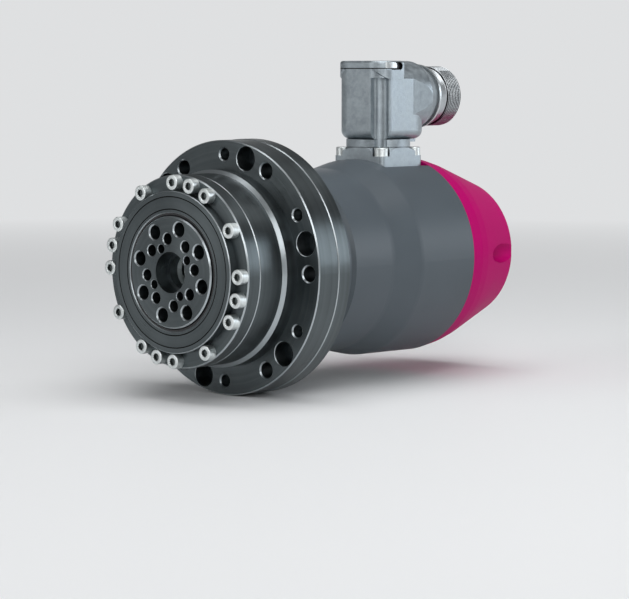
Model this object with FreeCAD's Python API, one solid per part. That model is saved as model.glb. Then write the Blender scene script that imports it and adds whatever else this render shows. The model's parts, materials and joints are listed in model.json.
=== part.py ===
import FreeCAD, Part
import math
import os

# Robot joint actuator: a strain wave gear with a crossed roller output bearing, the round flange that
# carries it, a servo motor behind the flange, an encoder under the end cap and a swivelling connector.
# Millimetres. The axis of the actuator is the Y axis, and Y = 0 is the mounting face of the flange.
# The output looks towards -Y, the motor runs towards +Y and the connector stands up along +Z.
# Angles go from +X towards +Z, as seen from the output side.

Vector = FreeCAD.Vector
CENTRE = Vector(0, 0, 0)
OUTPUT_SIDE = Vector(0, -1, 0)
MOTOR_SIDE = Vector(0, 1, 0)
UP = Vector(0, 0, 1)

# ---- Shared allowances ----
edge_break = 0.3                # chamfer on turned edges
running_gap = 0.05              # radial clearance where a seal, a ball or a roller runs
body_gap = 0.4                  # clearance between rings that turn past each other
screw_gap = 0.15                # radial clearance of a screw in a plain hole
hole_chamfer = 0.45             # countersink at the mouth of a screw hole
head_chamfer_share = 0.08       # chamfer of a screw head, as a share of its height
socket_depth_share = 0.45       # depth of a screw's socket, as a share of the head's height

# ---- Radii of the gear end, from the output outwards ----
output_r = 20.4
seal_width = 2.5
seal_case_width = 1.4
roller_land = 1.7               # from the outside of the seal to the roller circle
retainer_width = 4.5
front_disc_rim = 2.1
ring_screw_land = 3.0           # from the raised disc to the screw circle
ring_land = 5.7                 # from the raised disc to the outside of the ring
pilot_step = 1.3
flange_hole_inset = 5.5         # from the pilot to the hole circle of the flange
flange_edge = 5.2               # from the hole circle to the rim
adapter_overhang = 0.2

# ---- Lengths of the gear end, from the output face to the motor ----
output_proud = 0.6
output_chamfer = 0.5
front_disc_height = 3.4
bearing_ring_length = 6.1
gear_ring_length = 11.4
pilot_chamfer_length = 1.2
pilot_length = 5.4
flange_length = 10.3
flange_chamfer = 0.4
adapter_length = 6.4
adapter_lip_length = 2.0

# ---- Flange holes: three kinds on one circle, repeated around the flange ----
flange_group_count = 6
through_hole_r = 2.9
through_hole_angle = 0.0
counterbored_hole_r = 2.65      # below the counterbore
counterbore_r = 4.5
counterbore_chamfer = 0.2
counterbore_depth = 7.0
counterbore_angle = 15.0
joining_hole_r = 2.25
joining_hole_angle = 30.0
joining_head_depth = 3.7        # sinks the joining screws below the rear face of the adapter
joining_engagement = 5.8

# ---- Screws of the ring: three close together and a single one, repeated around it ----
ring_screw_angles = [0.0, -15.0, -30.0, -60.0]
ring_screw_group_count = 4
ring_screw_engagement = 4.5

# ---- Crossed roller bearing and seal ----
retainer_length = 1.8
seal_length = 1.2
seal_setback = 0.3
roller_offset = 3.85            # middle of the rollers, in front of the gear ring
roller_d = 4.0
roller_length = 3.8
roller_count = 24

# ---- Holes of the output flange ----
output_angle = 29.6             # how far the hole pattern is turned at rest
output_bore_r = 7.5
output_bore_depth = 6.0
bore_step = 1.3
output_hole_depth = 6.0
large_hole_inset = 4.1          # from the rim of the output to the circle of the large holes
large_hole_r = 2.6
large_hole_count = 8
middle_hole_offset = 4.7        # from the bore to the circle of the middle holes
middle_hole_r = 2.1
middle_hole_count = 8
small_hole_offset = 2.1         # from the bore to the circle of the small holes
small_hole_r = 1.65
small_hole_count = 4

# ---- Strain wave gear ----
gear_module = 0.847
flexspline_tooth_count = 60
extra_tooth_count = 2           # teeth that the ring has more than the cup
tooth_addendum = 0.5
tooth_dedendum = 0.65
tooth_flank_angle = 30.0
tooth_backlash = 0.12
tooth_face_length = 8.2
cup_wall = 0.9
cup_end_gap = 0.5
cup_taper = 0.6
diaphragm = 0.7
boss_r = 12.0
clamp_ring_step = 0.4
clamp_ring_length = 1.2
clamp_screw_inset = 3.4         # from the boss's outside to the screw circle
clamp_screw_count = 6
clamp_engagement = 2.4
clamp_head_height = 1.4
wave_race = 1.3
wave_bearing_length = 5.0
wave_ball_r = 1.6
wave_ball_count = 16
cam_length = 4.8

# ---- Shaft, from the cam to the encoder, and its bearings ----
nose_shaft_r = 6.0
nose_shaft_length = 1.1         # how far the nose stands out of the cam
journal_step = 1.5              # front journal over the nose
shoulder_step = 1.5             # shoulder over the front journal
core_seat_step = 1.0            # rotor seat under the shoulder
rear_journal_step = 2.0         # rear journal under the rotor seat
encoder_nose_step = 2.0         # encoder nose under the rear journal
shaft_seal_length = 4.5
shaft_seal_section = 5.5        # from journal to seat
bearing_shoulder = 0.8
front_bearing_section = 8.5     # from journal to seat
front_bearing_length = 9.0
rear_bearing_section = 8.0
rear_bearing_length = 8.0
race_thickness = 2.4
shield_length = 0.7
lip_overlap = 4.0               # how far the adapter's lip covers the front bearing
key_size = 3.0
key_length = 4.0
clip_length = 0.8
clip_width = 1.4
clip_groove = 0.6

# ---- Motor, from the shaft outwards ----
rotor_core_thickness = 5.9
magnet_thickness = 2.0
magnet_count = 8
magnet_angle = 38.0
air_gap = 0.6
shoe_thickness = 1.2
slot_opening = 1.6
slot_depth = 7.0
slot_count = 12
stator_back = 4.0
tooth_width = 4.0
coil_gap = 0.2
coil_root_gap = 0.6             # from the coil to the back of its slot
coil_side_gap = 0.6             # half the room between neighbouring coils
coil_overhang = 6.0
stator_start = 9.0              # from the adapter flange to the stator
stator_length = 42.0

# ---- Motor housing, from the adapter flange to the end cap ----
spigot_wall = 5.5
neck_wall = 6.4
neck_length = 16.3
neck_chamfer = 1.2
barrel_length = 21.3
taper_length = 13.9
taper_rise = 3.0
taper_blend_r = 9.0
body_length = 30.5
body_rise = 0.5
shield_seat_step = 0.5

# ---- Rear shield, encoder and end cap ----
rear_shield_length = 5.0
rear_hub_wall = 1.2
standoff_r = 1.8
standoff_gap = 0.2
standoff_count = 3
board_edge = 2.3                # from the standoff circle to the edge of the board
board_bore_r = 7.0
board_length = 1.6
board_offset = 4.0              # behind the disc
disc_clearance = 2.4            # from the disc to the standoffs
disc_length = 1.0
disc_offset = 6.0               # behind the rear bearing
read_head_inset = 6.0           # how far the read head reaches over the disc
read_head_width = 8.0
cap_band_length = 6.6
cap_band_drop = 0.9
cap_shoulder_length = 5.2
cap_shoulder_drop = 1.3
cap_cone_length = 26.0
cap_cone_drop = 8.5
cap_rim_length = 1.8
cap_rim_round = 1.6
cap_lip = 2.5                   # how far the cap overlaps the rear shield
cap_rear_wall = 8.4
cap_floor = 4.0
cap_seal_width = 0.8
cap_screw_inset = 3.0           # from the shield's seat to the screw circle
cap_screw_count = 3
cap_screw_angle = 0.0
cap_screw_engagement = 9.5
cap_head_gap = 0.3              # round a screw head in its pocket
cap_seat_length = 10.5

# ---- Connector base, from the swivel outwards ----
seat_depth = 3.3                # of the flat that is milled on the housing
swivel_r = 8.8
swivel_wall = 1.8
hub_wall = 3.8
hub_flare = 5.0                 # how much wider than its top the foot of the hub's slope is
hub_height = 3.3
neck_height = 2.9
swivel_gap = 0.2
base_plate_height = 4.1
base_screw_gap = 0.26           # from the seal to the screw holes
base_screw_margin = 2.7         # from the screws to the edge of the base
base_pocket_gap = 0.6           # round a screw head in its open pocket
base_corner_r = 2.0
base_screw_engagement = 4.0
base_seal_width = 1.2
base_seal_gap = 0.6             # from the room of the retaining ring to the seal
swivel_clip_width = 1.2
swivel_clip_rise = 1.3
swivel_seal_rise = 5.4
swivel_seal_width = 0.9
wire_way_gap = 1.0              # the hole in the housing is this much wider than that in the elbow

# ---- Elbow ----
elbow_inset = 0.4               # each side of the elbow stands this far inside the base
elbow_corner_r = 6.3
elbow_bottom_round = 3.5
elbow_height = 27.8
elbow_rear_reach = 8.0          # from the swivel axis to the centre of the elbow's round rear
notch_width = 5.8
notch_length = 4.7
notch_height = 24.0
lid_height = 2.8
lid_overhang = 0.5
lid_rear = 0.7                  # from the swivel axis to the rear end of the lid
lid_edge_round = 1.1
skirt_height = 4.3
skirt_wall = 1.4
skirt_return = 5.6              # how far each skirt wraps round the front corner
skirt_curve_r = 6.0
latch_start = 2.1               # from the front of the lid
latch_length = 7.0
latch_slot_length = 10.4
latch_height = 3.0
latch_depth = 1.0
latch_top_gap = 0.5
barrel_swell = 1.9              # the barrel is this much wider than the block, each side
barrel_reach = 17.0
swell_start = 7.0               # from the swivel axis to where the barrel starts to widen
dome_length = 4.5
lug_width = 5.0
lug_length = 4.4
lug_inset = 0.2                 # from the elbow's rear to the lug
lug_drop = 1.4

# ---- Nose of the connector ----
thread_r = 11.9
thread_length = 9.0
thread_chamfer = 0.8
nose_wall = 2.3
nose_neck_depth = 0.9           # under the thread
nose_neck_length = 7.4
nose_ring_rise = 0.8            # over the thread
nose_ring_length = 1.0
nose_ring_gap = 1.3
dome_rise = 0.3                 # end of the dome over the thread
sleeve_wall = 0.6
nose_insertion = 5.0
insert_setback = 11.3
insert_length = 12.0
insert_key_width = 2.0
pin_length = 5.5
power_pin_r = 1.0
power_pin_inset = 4.0           # from the bore of the nose to the circle of the power pins
power_pin_angle = 45.0
signal_pin_r = 0.5
signal_pin_circle_r = 2.6
signal_pin_angle = 0.0
pin_circle_count = 4            # pins on each circle

# Screws: shank radius, head radius, head height and socket size of each thread.
M25 = {"shank_r": 1.0, "head_r": 2.25, "head_height": 2.5, "socket": 2.0}
M3 = {"shank_r": 1.25, "head_r": 2.75, "head_height": 3.3, "socket": 2.5}
M4 = {"shank_r": 1.65, "head_r": 3.5, "head_height": 4.0, "socket": 3.0}
M5_low = {"shank_r": joining_hole_r, "head_r": 4.0, "head_height": 3.5, "socket": 3.0}

# ---- Radii that follow ----
seal_outer_r = output_r + seal_width
seal_case_r = seal_outer_r - seal_case_width
roller_circle_r = seal_outer_r + roller_land
retainer_r = seal_outer_r + retainer_width
front_disc_r = retainer_r + front_disc_rim
ring_screw_circle_r = front_disc_r + ring_screw_land
ring_r = front_disc_r + ring_land
pilot_r = ring_r + pilot_step
flange_hole_circle_r = pilot_r + flange_hole_inset
flange_r = flange_hole_circle_r + flange_edge
adapter_r = flange_r + adapter_overhang
output_core_bore_r = output_bore_r - bore_step
large_hole_circle_r = output_r - large_hole_inset
middle_hole_circle_r = output_bore_r + middle_hole_offset
small_hole_circle_r = output_bore_r + small_hole_offset
middle_hole_angle = output_angle - 180.0 / middle_hole_count
clamp_screw_circle_r = boss_r - clamp_screw_inset
front_journal_r = nose_shaft_r + journal_step
shoulder_r = front_journal_r + shoulder_step
core_seat_r = shoulder_r - core_seat_step
rear_journal_r = core_seat_r - rear_journal_step
encoder_nose_r = rear_journal_r - encoder_nose_step
shaft_seal_r = front_journal_r + shaft_seal_section
front_bearing_r = front_journal_r + front_bearing_section
rear_bearing_r = rear_journal_r + rear_bearing_section
adapter_lip_r = front_bearing_r - lip_overlap
magnet_inner_r = core_seat_r + rotor_core_thickness
magnet_outer_r = magnet_inner_r + magnet_thickness
stator_bore_r = magnet_outer_r + air_gap
slot_bottom_r = stator_bore_r + slot_depth
stator_r = slot_bottom_r + stator_back
housing_spigot_r = stator_r + spigot_wall
neck_r = stator_r + neck_wall
barrel_r = neck_r + neck_chamfer
taper_r = barrel_r + taper_rise
body_r = taper_r + body_rise
shield_seat_r = stator_r + shield_seat_step
rear_hub_r = rear_bearing_r + rear_hub_wall
standoff_circle_r = rear_hub_r + standoff_gap + standoff_r
board_r = standoff_circle_r + board_edge
disc_r = standoff_circle_r - standoff_r - disc_clearance
cap_band_r = body_r - cap_band_drop
cap_shoulder_r = cap_band_r - cap_shoulder_drop
cap_rim_r = cap_shoulder_r - cap_cone_drop
cap_front_bore_r = shield_seat_r - cap_lip
cap_rear_bore_r = cap_rim_r - cap_rear_wall
cap_screw_circle_r = shield_seat_r + cap_screw_inset
cap_pocket_r = M4["head_r"] + cap_head_gap
hub_r = swivel_r + hub_wall
swivel_bore_r = swivel_r - swivel_wall
swivel_clip_r = swivel_r + swivel_clip_width
base_seal_r = swivel_clip_r + body_gap + base_seal_gap + base_seal_width
base_screw_circle_r = base_seal_r + base_screw_gap + screw_gap + M3["shank_r"]
base_screw_offset = base_screw_circle_r / math.sqrt(2)
base_width = 2 * (base_screw_offset + base_screw_margin)
elbow_half = base_width / 2 - elbow_inset
elbow_rear = elbow_rear_reach + elbow_half
lid_half = elbow_half + lid_overhang
barrel_round_r = elbow_half + barrel_swell
dome_r = thread_r + dome_rise
nose_ring_r = thread_r + nose_ring_rise
nose_neck_r = thread_r - nose_neck_depth
nose_bore_r = thread_r - nose_wall
sleeve_r = nose_bore_r + sleeve_wall
power_pin_circle_r = nose_bore_r - power_pin_inset

# ---- Stations along the axis that follow ----
gear_ring_rear_y = -(pilot_length + pilot_chamfer_length)
gear_ring_front_y = gear_ring_rear_y - gear_ring_length
ring_face_y = gear_ring_front_y - bearing_ring_length
disc_face_y = ring_face_y - front_disc_height
output_face_y = disc_face_y - output_proud
output_rear_y = gear_ring_front_y - body_gap
roller_y = gear_ring_front_y - roller_offset
adapter_rear_y = flange_length + adapter_length
joining_seat_y = adapter_rear_y - joining_head_depth
housing_front_y = flange_length + adapter_lip_length
neck_end_y = adapter_rear_y + neck_length
barrel_start_y = neck_end_y + neck_chamfer
taper_start_y = barrel_start_y + barrel_length
taper_end_y = taper_start_y + taper_length
housing_rear_y = taper_end_y + body_length
front_bearing_y = flange_length - front_bearing_length
seal_start_y = front_bearing_y - bearing_shoulder - shaft_seal_length
stator_front_y = adapter_rear_y + stator_start
stator_rear_y = stator_front_y + stator_length
rear_shield_y = housing_rear_y - rear_shield_length
rear_bearing_y = rear_shield_y + shield_length
rear_bearing_end_y = rear_bearing_y + rear_bearing_length
disc_y = rear_bearing_end_y + disc_offset
board_y = disc_y + disc_length + board_offset
cap_seat_y = housing_rear_y + cap_seat_length
ring_screw_length = bearing_ring_length + gear_ring_length + ring_screw_engagement
joining_screw_length = adapter_length - joining_head_depth + joining_engagement
cap_screw_length = cap_seat_length + cap_screw_engagement
base_screw_length = base_plate_height + base_screw_engagement
connector_y = housing_rear_y - base_width / 2
base_seat_z = body_r - seat_depth
base_top_z = base_seat_z + base_plate_height
swivel_clip_z = base_seat_z + swivel_clip_rise
swivel_seal_z = base_seat_z + swivel_seal_rise
elbow_z = base_top_z + hub_height + neck_height + swivel_gap
elbow_top_z = elbow_z + elbow_height
lid_top_z = elbow_top_z + lid_height
skirt_z = elbow_top_z - skirt_height
nose_z = lid_top_z - barrel_round_r
nose_start = barrel_reach + dome_length
thread_start = nose_start + nose_neck_length
thread_end = thread_start + thread_length
insert_face = thread_end - insert_setback

# ---- The gear and the wave generator, before the cup is pressed to an ellipse ----
wave_height = gear_module * extra_tooth_count / 2
flexspline_pitch_r = gear_module * flexspline_tooth_count / 2
ring_tooth_count = flexspline_tooth_count + extra_tooth_count
ring_pitch_r = gear_module * ring_tooth_count / 2
cup_r = flexspline_pitch_r - tooth_dedendum
cup_inner_r = cup_r - cup_wall
wave_ball_circle_r = cup_inner_r - wave_race - running_gap - wave_ball_r
wave_inner_race_r = wave_ball_circle_r - wave_ball_r - running_gap
cam_r = wave_inner_race_r - wave_race
cup_rim_y = gear_ring_rear_y - body_gap
tooth_front_y = cup_rim_y - tooth_face_length
cup_front_y = output_rear_y + cup_end_gap
wave_y = (tooth_front_y + cup_rim_y) / 2
cam_rear_y = wave_y + cam_length / 2
cam_front_y = wave_y - cam_length / 2
clamp_front_y = cup_front_y + diaphragm
clamp_rear_y = clamp_front_y + clamp_ring_length
clamp_screw_length = clamp_rear_y - output_rear_y + clamp_engagement


# ---------------------------------------------------------------- shape helpers

def revolve(outline):
    """Full turn about the actuator axis of a closed outline of (radius, y) points."""
    corners = [Vector(r, y, 0) for r, y in outline]
    face = Part.Face(Part.makePolygon(corners + corners[:1]))
    return face.revolve(CENTRE, MOTOR_SIDE, 360)


def tube(inner_r, outer_r, start_y, end_y):
    """Plain ring on the actuator axis."""
    return revolve([
        (inner_r, start_y),
        (outer_r, start_y),
        (outer_r, end_y),
        (inner_r, end_y),
    ])


def rod(radius, start_y, end_y):
    """Solid round on the actuator axis."""
    return Part.makeCylinder(radius, end_y - start_y, Vector(0, start_y, 0), MOTOR_SIDE)


def post(radius, start_z, end_z, x=0.0, y=0.0):
    """Solid round that stands upright."""
    return Part.makeCylinder(radius, end_z - start_z, Vector(x, y, start_z), UP)


def block(x0, x1, y0, y1, z0, z1):
    """Box between two corners."""
    return Part.makeBox(x1 - x0, y1 - y0, z1 - z0, Vector(x0, y0, z0))


def turned(shape, angle):
    """Copy of a shape turned about the actuator axis, counter-clockwise from the output side."""
    return shape.rotated(CENTRE, OUTPUT_SIDE, angle)


def ring_of(shape, count, start=0.0):
    """Equally spaced copies of a shape about the actuator axis."""
    return [turned(shape, start + i * 360.0 / count) for i in range(count)]


def at_radius(shape, radius, y=0.0):
    """Copy of a shape moved out along +X and along the axis."""
    return shape.translated(Vector(radius, y, 0))


def group(solids):
    """Several separate solids as one node."""
    return Part.makeCompound(solids)


def export(name, shape):
    shape.exportStep("parts/" + name + ".step")


def hole(radius, start_y, end_y, chamfer=0.0):
    """Drill along the axis that enters at start_y, with a countersunk mouth there."""
    drill = rod(radius, start_y, end_y)
    if chamfer:
        drill = drill.fuse(Part.makeCone(
            radius + chamfer, radius, chamfer, Vector(0, start_y, 0), MOTOR_SIDE))
    return drill


def hexagon(across_flats, height):
    """Hexagonal prism that stands on the origin along -Y, for a screw's socket."""
    corner_r = across_flats / math.sqrt(3)
    corners = [
        Vector(corner_r * math.cos(math.radians(60 * i)), 0, corner_r * math.sin(math.radians(60 * i)))
        for i in range(7)
    ]
    return Part.Face(Part.makePolygon(corners)).extrude(OUTPUT_SIDE * height)


def cap_screw(shank_r, length, head_r, head_height, socket):
    """Socket screw with its seat at Y = 0, its head towards -Y and its shank towards +Y."""
    top_chamfer = head_height * head_chamfer_share
    head = revolve([
        (0, 0),
        (head_r, 0),
        (head_r, top_chamfer - head_height),
        (head_r - top_chamfer, -head_height),
        (0, -head_height),
    ])
    socket_floor_y = -head_height * (1 - socket_depth_share)
    recess = hexagon(socket, head_height).translated(Vector(0, socket_floor_y, 0))
    return head.fuse(rod(shank_r, 0, length)).removeSplitter().cut(recess)


def ellipse_wire(radius, wave, y):
    """Ellipse that a ring of this radius takes when it is pressed out by wave along X."""
    curve = Part.Ellipse(
        Vector(radius + wave, y, 0),
        Vector(0, y, radius - wave),
        Vector(0, y, 0))
    return Part.Wire(curve.toShape())


def ellipse_ring(inner_r, outer_r, start_y, end_y):
    """Ring between two pressed ellipses."""
    outer = Part.Face(ellipse_wire(outer_r, wave_height, start_y))
    inner = Part.Face(ellipse_wire(inner_r, wave_height, start_y))
    return outer.cut(inner).extrude(MOTOR_SIDE * (end_y - start_y))


def rounded_prism(width, corner_r, start_z, end_z):
    """Upright square prism about the connector's own axis, with round corners."""
    prism = block(-width / 2, width / 2, -width / 2, width / 2, start_z, end_z)
    upright = [e for e in prism.Edges if abs(e.Vertexes[0].Z - e.Vertexes[1].Z) > 1e-6]
    return prism.makeFillet(corner_r, upright)


def place_connector(shape):
    """Move a piece from the connector's own axis to its place on the housing."""
    return shape.translated(Vector(0, connector_y, 0))


# ---------------------------------------------------------------- flanges

def flange_drills():
    """Holes that run through both flanges for the screws of the machine."""
    through = at_radius(hole(through_hole_r, 0, adapter_rear_y, hole_chamfer), flange_hole_circle_r)
    counterbore = hole(counterbore_r, 0, counterbore_depth, counterbore_chamfer)
    counterbored = counterbore.fuse(rod(counterbored_hole_r, 0, adapter_rear_y))
    counterbored = at_radius(counterbored, flange_hole_circle_r)
    return (ring_of(through, flange_group_count, through_hole_angle)
            + ring_of(counterbored, flange_group_count, counterbore_angle))


def ring_screw_places(shape):
    """Copies of a shape at each ring screw."""
    places = []
    for quarter in range(ring_screw_group_count):
        for angle in ring_screw_angles:
            turn = angle + quarter * 360.0 / ring_screw_group_count
            places.append(turned(at_radius(shape, ring_screw_circle_r), turn))
    return places


def mounting_flange():
    body = revolve([
        (ring_r, gear_ring_rear_y),
        (pilot_r, -pilot_length),
        (pilot_r, 0),
        (flange_r - flange_chamfer, 0),
        (flange_r, flange_chamfer),
        (flange_r, flange_length - edge_break),
        (flange_r - edge_break, flange_length),
        (front_bearing_r, flange_length),
        (front_bearing_r, front_bearing_y),
        (shaft_seal_r - bearing_shoulder, front_bearing_y),
        (shaft_seal_r - bearing_shoulder, front_bearing_y - bearing_shoulder),
        (shaft_seal_r, front_bearing_y - bearing_shoulder),
        (shaft_seal_r, seal_start_y),
        (cup_r + wave_height + body_gap, seal_start_y),
        (cup_r + wave_height + body_gap, gear_ring_rear_y),
    ])
    tapped = at_radius(hole(joining_hole_r, 0, flange_length, hole_chamfer), flange_hole_circle_r)
    thread_depth = ring_screw_length + ring_face_y
    ring_thread = rod(M3["shank_r"], gear_ring_rear_y, thread_depth)
    return body.cut(
        flange_drills()
        + ring_of(tapped, flange_group_count, joining_hole_angle)
        + ring_screw_places(ring_thread))


def adapter_flange():
    body = revolve([
        (adapter_lip_r, flange_length),
        (adapter_r - edge_break, flange_length),
        (adapter_r, flange_length + edge_break),
        (adapter_r, adapter_rear_y - edge_break),
        (adapter_r - edge_break, adapter_rear_y),
        (housing_spigot_r, adapter_rear_y),
        (housing_spigot_r, housing_front_y),
        (adapter_lip_r, housing_front_y),
    ])
    plain = rod(joining_hole_r + screw_gap, flange_length, joining_seat_y)
    head_room = rod(M5_low["head_r"] + screw_gap, joining_seat_y, adapter_rear_y)
    joining = at_radius(plain.fuse(head_room), flange_hole_circle_r)
    return body.cut(flange_drills() + ring_of(joining, flange_group_count, joining_hole_angle))


def flange_joining_screws():
    screw = cap_screw(length=joining_screw_length, **M5_low)
    screw = screw.rotated(CENTRE, UP, 180).translated(Vector(0, joining_seat_y, 0))
    return group(ring_of(at_radius(screw, flange_hole_circle_r), flange_group_count, joining_hole_angle))


# ---------------------------------------------------------------- bearing ring and seal

def roller_groove(y):
    """Square groove, turned onto its corner, that both races share."""
    reach = roller_d / math.sqrt(2) + running_gap
    return revolve([
        (roller_circle_r - reach, y),
        (roller_circle_r, y - reach),
        (roller_circle_r + reach, y),
        (roller_circle_r, y + reach),
    ])


def bearing_ring():
    body = revolve([
        (roller_circle_r + body_gap, gear_ring_front_y),
        (ring_r - edge_break, gear_ring_front_y),
        (ring_r, gear_ring_front_y - edge_break),
        (ring_r, ring_face_y + hole_chamfer),
        (ring_r - hole_chamfer, ring_face_y),
        (front_disc_r, ring_face_y),
        (front_disc_r, disc_face_y + edge_break),
        (front_disc_r - edge_break, disc_face_y),
        (retainer_r, disc_face_y),
        (retainer_r, disc_face_y + retainer_length),
        (roller_circle_r + body_gap, disc_face_y + retainer_length),
    ])
    plain = rod(M3["shank_r"] + screw_gap, ring_face_y, gear_ring_front_y)
    return body.cut([roller_groove(roller_y)] + ring_screw_places(plain))


def seal_retainer():
    seal_end_y = disc_face_y + seal_setback + seal_length
    return revolve([
        (seal_outer_r, disc_face_y + edge_break / 2),
        (seal_outer_r + edge_break / 2, disc_face_y),
        (retainer_r - edge_break / 2, disc_face_y),
        (retainer_r, disc_face_y + edge_break / 2),
        (retainer_r, disc_face_y + retainer_length),
        (seal_outer_r - body_gap, disc_face_y + retainer_length),
        (seal_outer_r - body_gap, seal_end_y),
        (seal_outer_r, seal_end_y),
    ])


def seal_case():
    """Steel case of the seal, pressed into the retainer and flush with its face."""
    return revolve([
        (seal_case_r + edge_break, disc_face_y),
        (seal_outer_r - edge_break / 2, disc_face_y),
        (seal_outer_r, disc_face_y + edge_break / 2),
        (seal_outer_r, disc_face_y + seal_setback + seal_length),
        (seal_case_r, disc_face_y + seal_setback + seal_length),
        (seal_case_r, disc_face_y + edge_break),
    ])


def output_seal():
    """Rubber lip that runs on the output, a little behind the face of its case."""
    start_y = disc_face_y + seal_setback
    lip_r = output_r + running_gap
    return revolve([
        (seal_case_r, start_y),
        (seal_case_r, start_y + seal_length),
        (lip_r + body_gap, start_y + seal_length),
        (lip_r, start_y + seal_length / 2),
        (lip_r + body_gap, start_y),
    ])


def ring_screws():
    screw = cap_screw(length=ring_screw_length, **M3).translated(Vector(0, ring_face_y, 0))
    return group(ring_screw_places(screw))


# ---------------------------------------------------------------- output flange

def output_flange():
    race_r = roller_circle_r - body_gap
    hub_end_y = disc_face_y + retainer_length + body_gap
    body = revolve([
        (output_bore_r, output_face_y),
        (output_r - output_chamfer, output_face_y),
        (output_r, output_face_y + output_chamfer),
        (output_r, hub_end_y),
        (race_r, hub_end_y),
        (race_r, output_rear_y),
        (output_core_bore_r, output_rear_y),
        (output_core_bore_r, output_face_y + output_bore_depth),
        (output_bore_r, output_face_y + output_bore_depth),
    ])
    floor_y = output_face_y + output_hole_depth
    large = at_radius(hole(large_hole_r, output_face_y, floor_y, hole_chamfer), large_hole_circle_r)
    middle = at_radius(hole(middle_hole_r, output_face_y, floor_y, edge_break), middle_hole_circle_r)
    small = at_radius(hole(small_hole_r, output_face_y, floor_y, edge_break / 2), small_hole_circle_r)
    clamp = at_radius(rod(M25["shank_r"], clamp_rear_y - clamp_screw_length, output_rear_y),
                      clamp_screw_circle_r)
    return body.cut(
        [roller_groove(roller_y)]
        + ring_of(large, large_hole_count, output_angle)
        + ring_of(middle, middle_hole_count, middle_hole_angle)
        + ring_of(small, small_hole_count, output_angle)
        + ring_of(clamp, clamp_screw_count, output_angle))


def crossed_rollers():
    """Short rollers in the square groove, each one's axis square to that of its neighbours."""
    roller = Part.makeCylinder(
        roller_d / 2, roller_length, Vector(0, 0, -roller_length / 2), UP)
    rollers = []
    for i in range(roller_count):
        lean = 45 if i % 2 == 0 else -45
        laid = roller.rotated(CENTRE, MOTOR_SIDE, 90).rotated(CENTRE, UP, lean)
        rollers.append(turned(at_radius(laid, roller_circle_r, roller_y), i * 360.0 / roller_count))
    return group(rollers)


# ---------------------------------------------------------------- strain wave gear

def tooth_half_width(depth):
    """Half the width of a tooth at a height above its pitch line."""
    pitch_half = math.pi * gear_module / 4 - tooth_backlash / 2
    return pitch_half - depth * math.tan(math.radians(tooth_flank_angle))


def gear_ring():
    """Rigid ring with internal teeth, clamped between the bearing ring and the flange."""
    corners = []
    for i in range(ring_tooth_count):
        angle = 2 * math.pi * (i + 0.5) / ring_tooth_count
        for side, depth in ((-1, -tooth_dedendum), (-1, tooth_addendum),
                            (1, tooth_addendum), (1, -tooth_dedendum)):
            turn = angle + side * tooth_half_width(depth) / ring_pitch_r
            radius = ring_pitch_r - depth
            corners.append(Vector(radius * math.cos(turn), 0, radius * math.sin(turn)))
    teeth = Part.Face(Part.makePolygon(corners + corners[:1]))
    tooth_space = teeth.extrude(MOTOR_SIDE * gear_ring_length).translated(Vector(0, gear_ring_front_y, 0))
    relief_r = ring_pitch_r + tooth_dedendum + edge_break
    relief = rod(relief_r, gear_ring_front_y, tooth_front_y - body_gap)
    plain = rod(M3["shank_r"] + screw_gap, gear_ring_front_y, gear_ring_rear_y)
    blank = rod(ring_r, gear_ring_front_y, gear_ring_rear_y)
    rims = [e for e in blank.Edges if e.Closed and abs(e.Curve.Radius - ring_r) < 1e-6]
    blank = blank.makeChamfer(edge_break, rims)
    return blank.cut([tooth_space, relief] + ring_screw_places(plain))


def flexspline_outline():
    """Corners of the outer teeth after the thin cup is pressed to an ellipse.

    A point of the cup's rim at angle a moves out by w cos 2a and back round by (w / 2) sin 2a,
    and its tooth leans by 1.5 w sin 2a / r, so the length of the rim stays what it was.
    """
    corners = []
    for i in range(flexspline_tooth_count):
        a = 2 * math.pi * i / flexspline_tooth_count
        out = wave_height * math.cos(2 * a)
        back = wave_height / 2 * math.sin(2 * a)
        lean = 1.5 * wave_height * math.sin(2 * a) / cup_r
        radial = Vector(math.cos(a), 0, math.sin(a))
        around = Vector(-math.sin(a), 0, math.cos(a))
        root = radial * (cup_r + out) - around * back
        normal = radial * math.cos(lean) - around * math.sin(lean)
        along = radial * math.sin(lean) + around * math.cos(lean)
        for side, depth in ((-1, -tooth_dedendum), (-1, tooth_addendum),
                            (1, tooth_addendum), (1, -tooth_dedendum)):
            across = side * tooth_half_width(depth)
            corners.append(root + normal * (tooth_dedendum + depth) + along * across)
    return Part.Face(Part.makePolygon(corners + corners[:1]))


def cup_loft(radius, end_y):
    """Inside or outside of the cup between its toothed rim and its round closed end."""
    return Part.makeLoft([
        ellipse_wire(radius, wave_height, tooth_front_y),
        ellipse_wire(radius - cup_taper, 0, end_y),
    ], True)


def flexspline():
    """Thin cup with outer teeth at its open rim and a boss that is clamped to the output."""
    rim = flexspline_outline().extrude(MOTOR_SIDE * tooth_face_length)
    rim = rim.translated(Vector(0, tooth_front_y, 0))
    bore = Part.Face(ellipse_wire(cup_inner_r, wave_height, tooth_front_y))
    rim = rim.cut(bore.extrude(MOTOR_SIDE * tooth_face_length))
    wall = cup_loft(cup_r, cup_front_y).cut(cup_loft(cup_inner_r, clamp_front_y))
    boss = tube(output_core_bore_r, boss_r, output_rear_y, clamp_front_y)
    plain = at_radius(rod(M25["shank_r"] + screw_gap, output_rear_y, clamp_front_y), clamp_screw_circle_r)
    cup = wall.fuse([rim, boss]).removeSplitter()
    return cup.cut([rod(output_core_bore_r, output_rear_y, clamp_front_y)]
                   + ring_of(plain, clamp_screw_count, output_angle))


def clamp_ring():
    ring = tube(output_core_bore_r, boss_r - clamp_ring_step, clamp_front_y, clamp_rear_y)
    plain = at_radius(rod(M25["shank_r"] + screw_gap, clamp_front_y, clamp_rear_y), clamp_screw_circle_r)
    return ring.cut(ring_of(plain, clamp_screw_count, output_angle))


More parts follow.
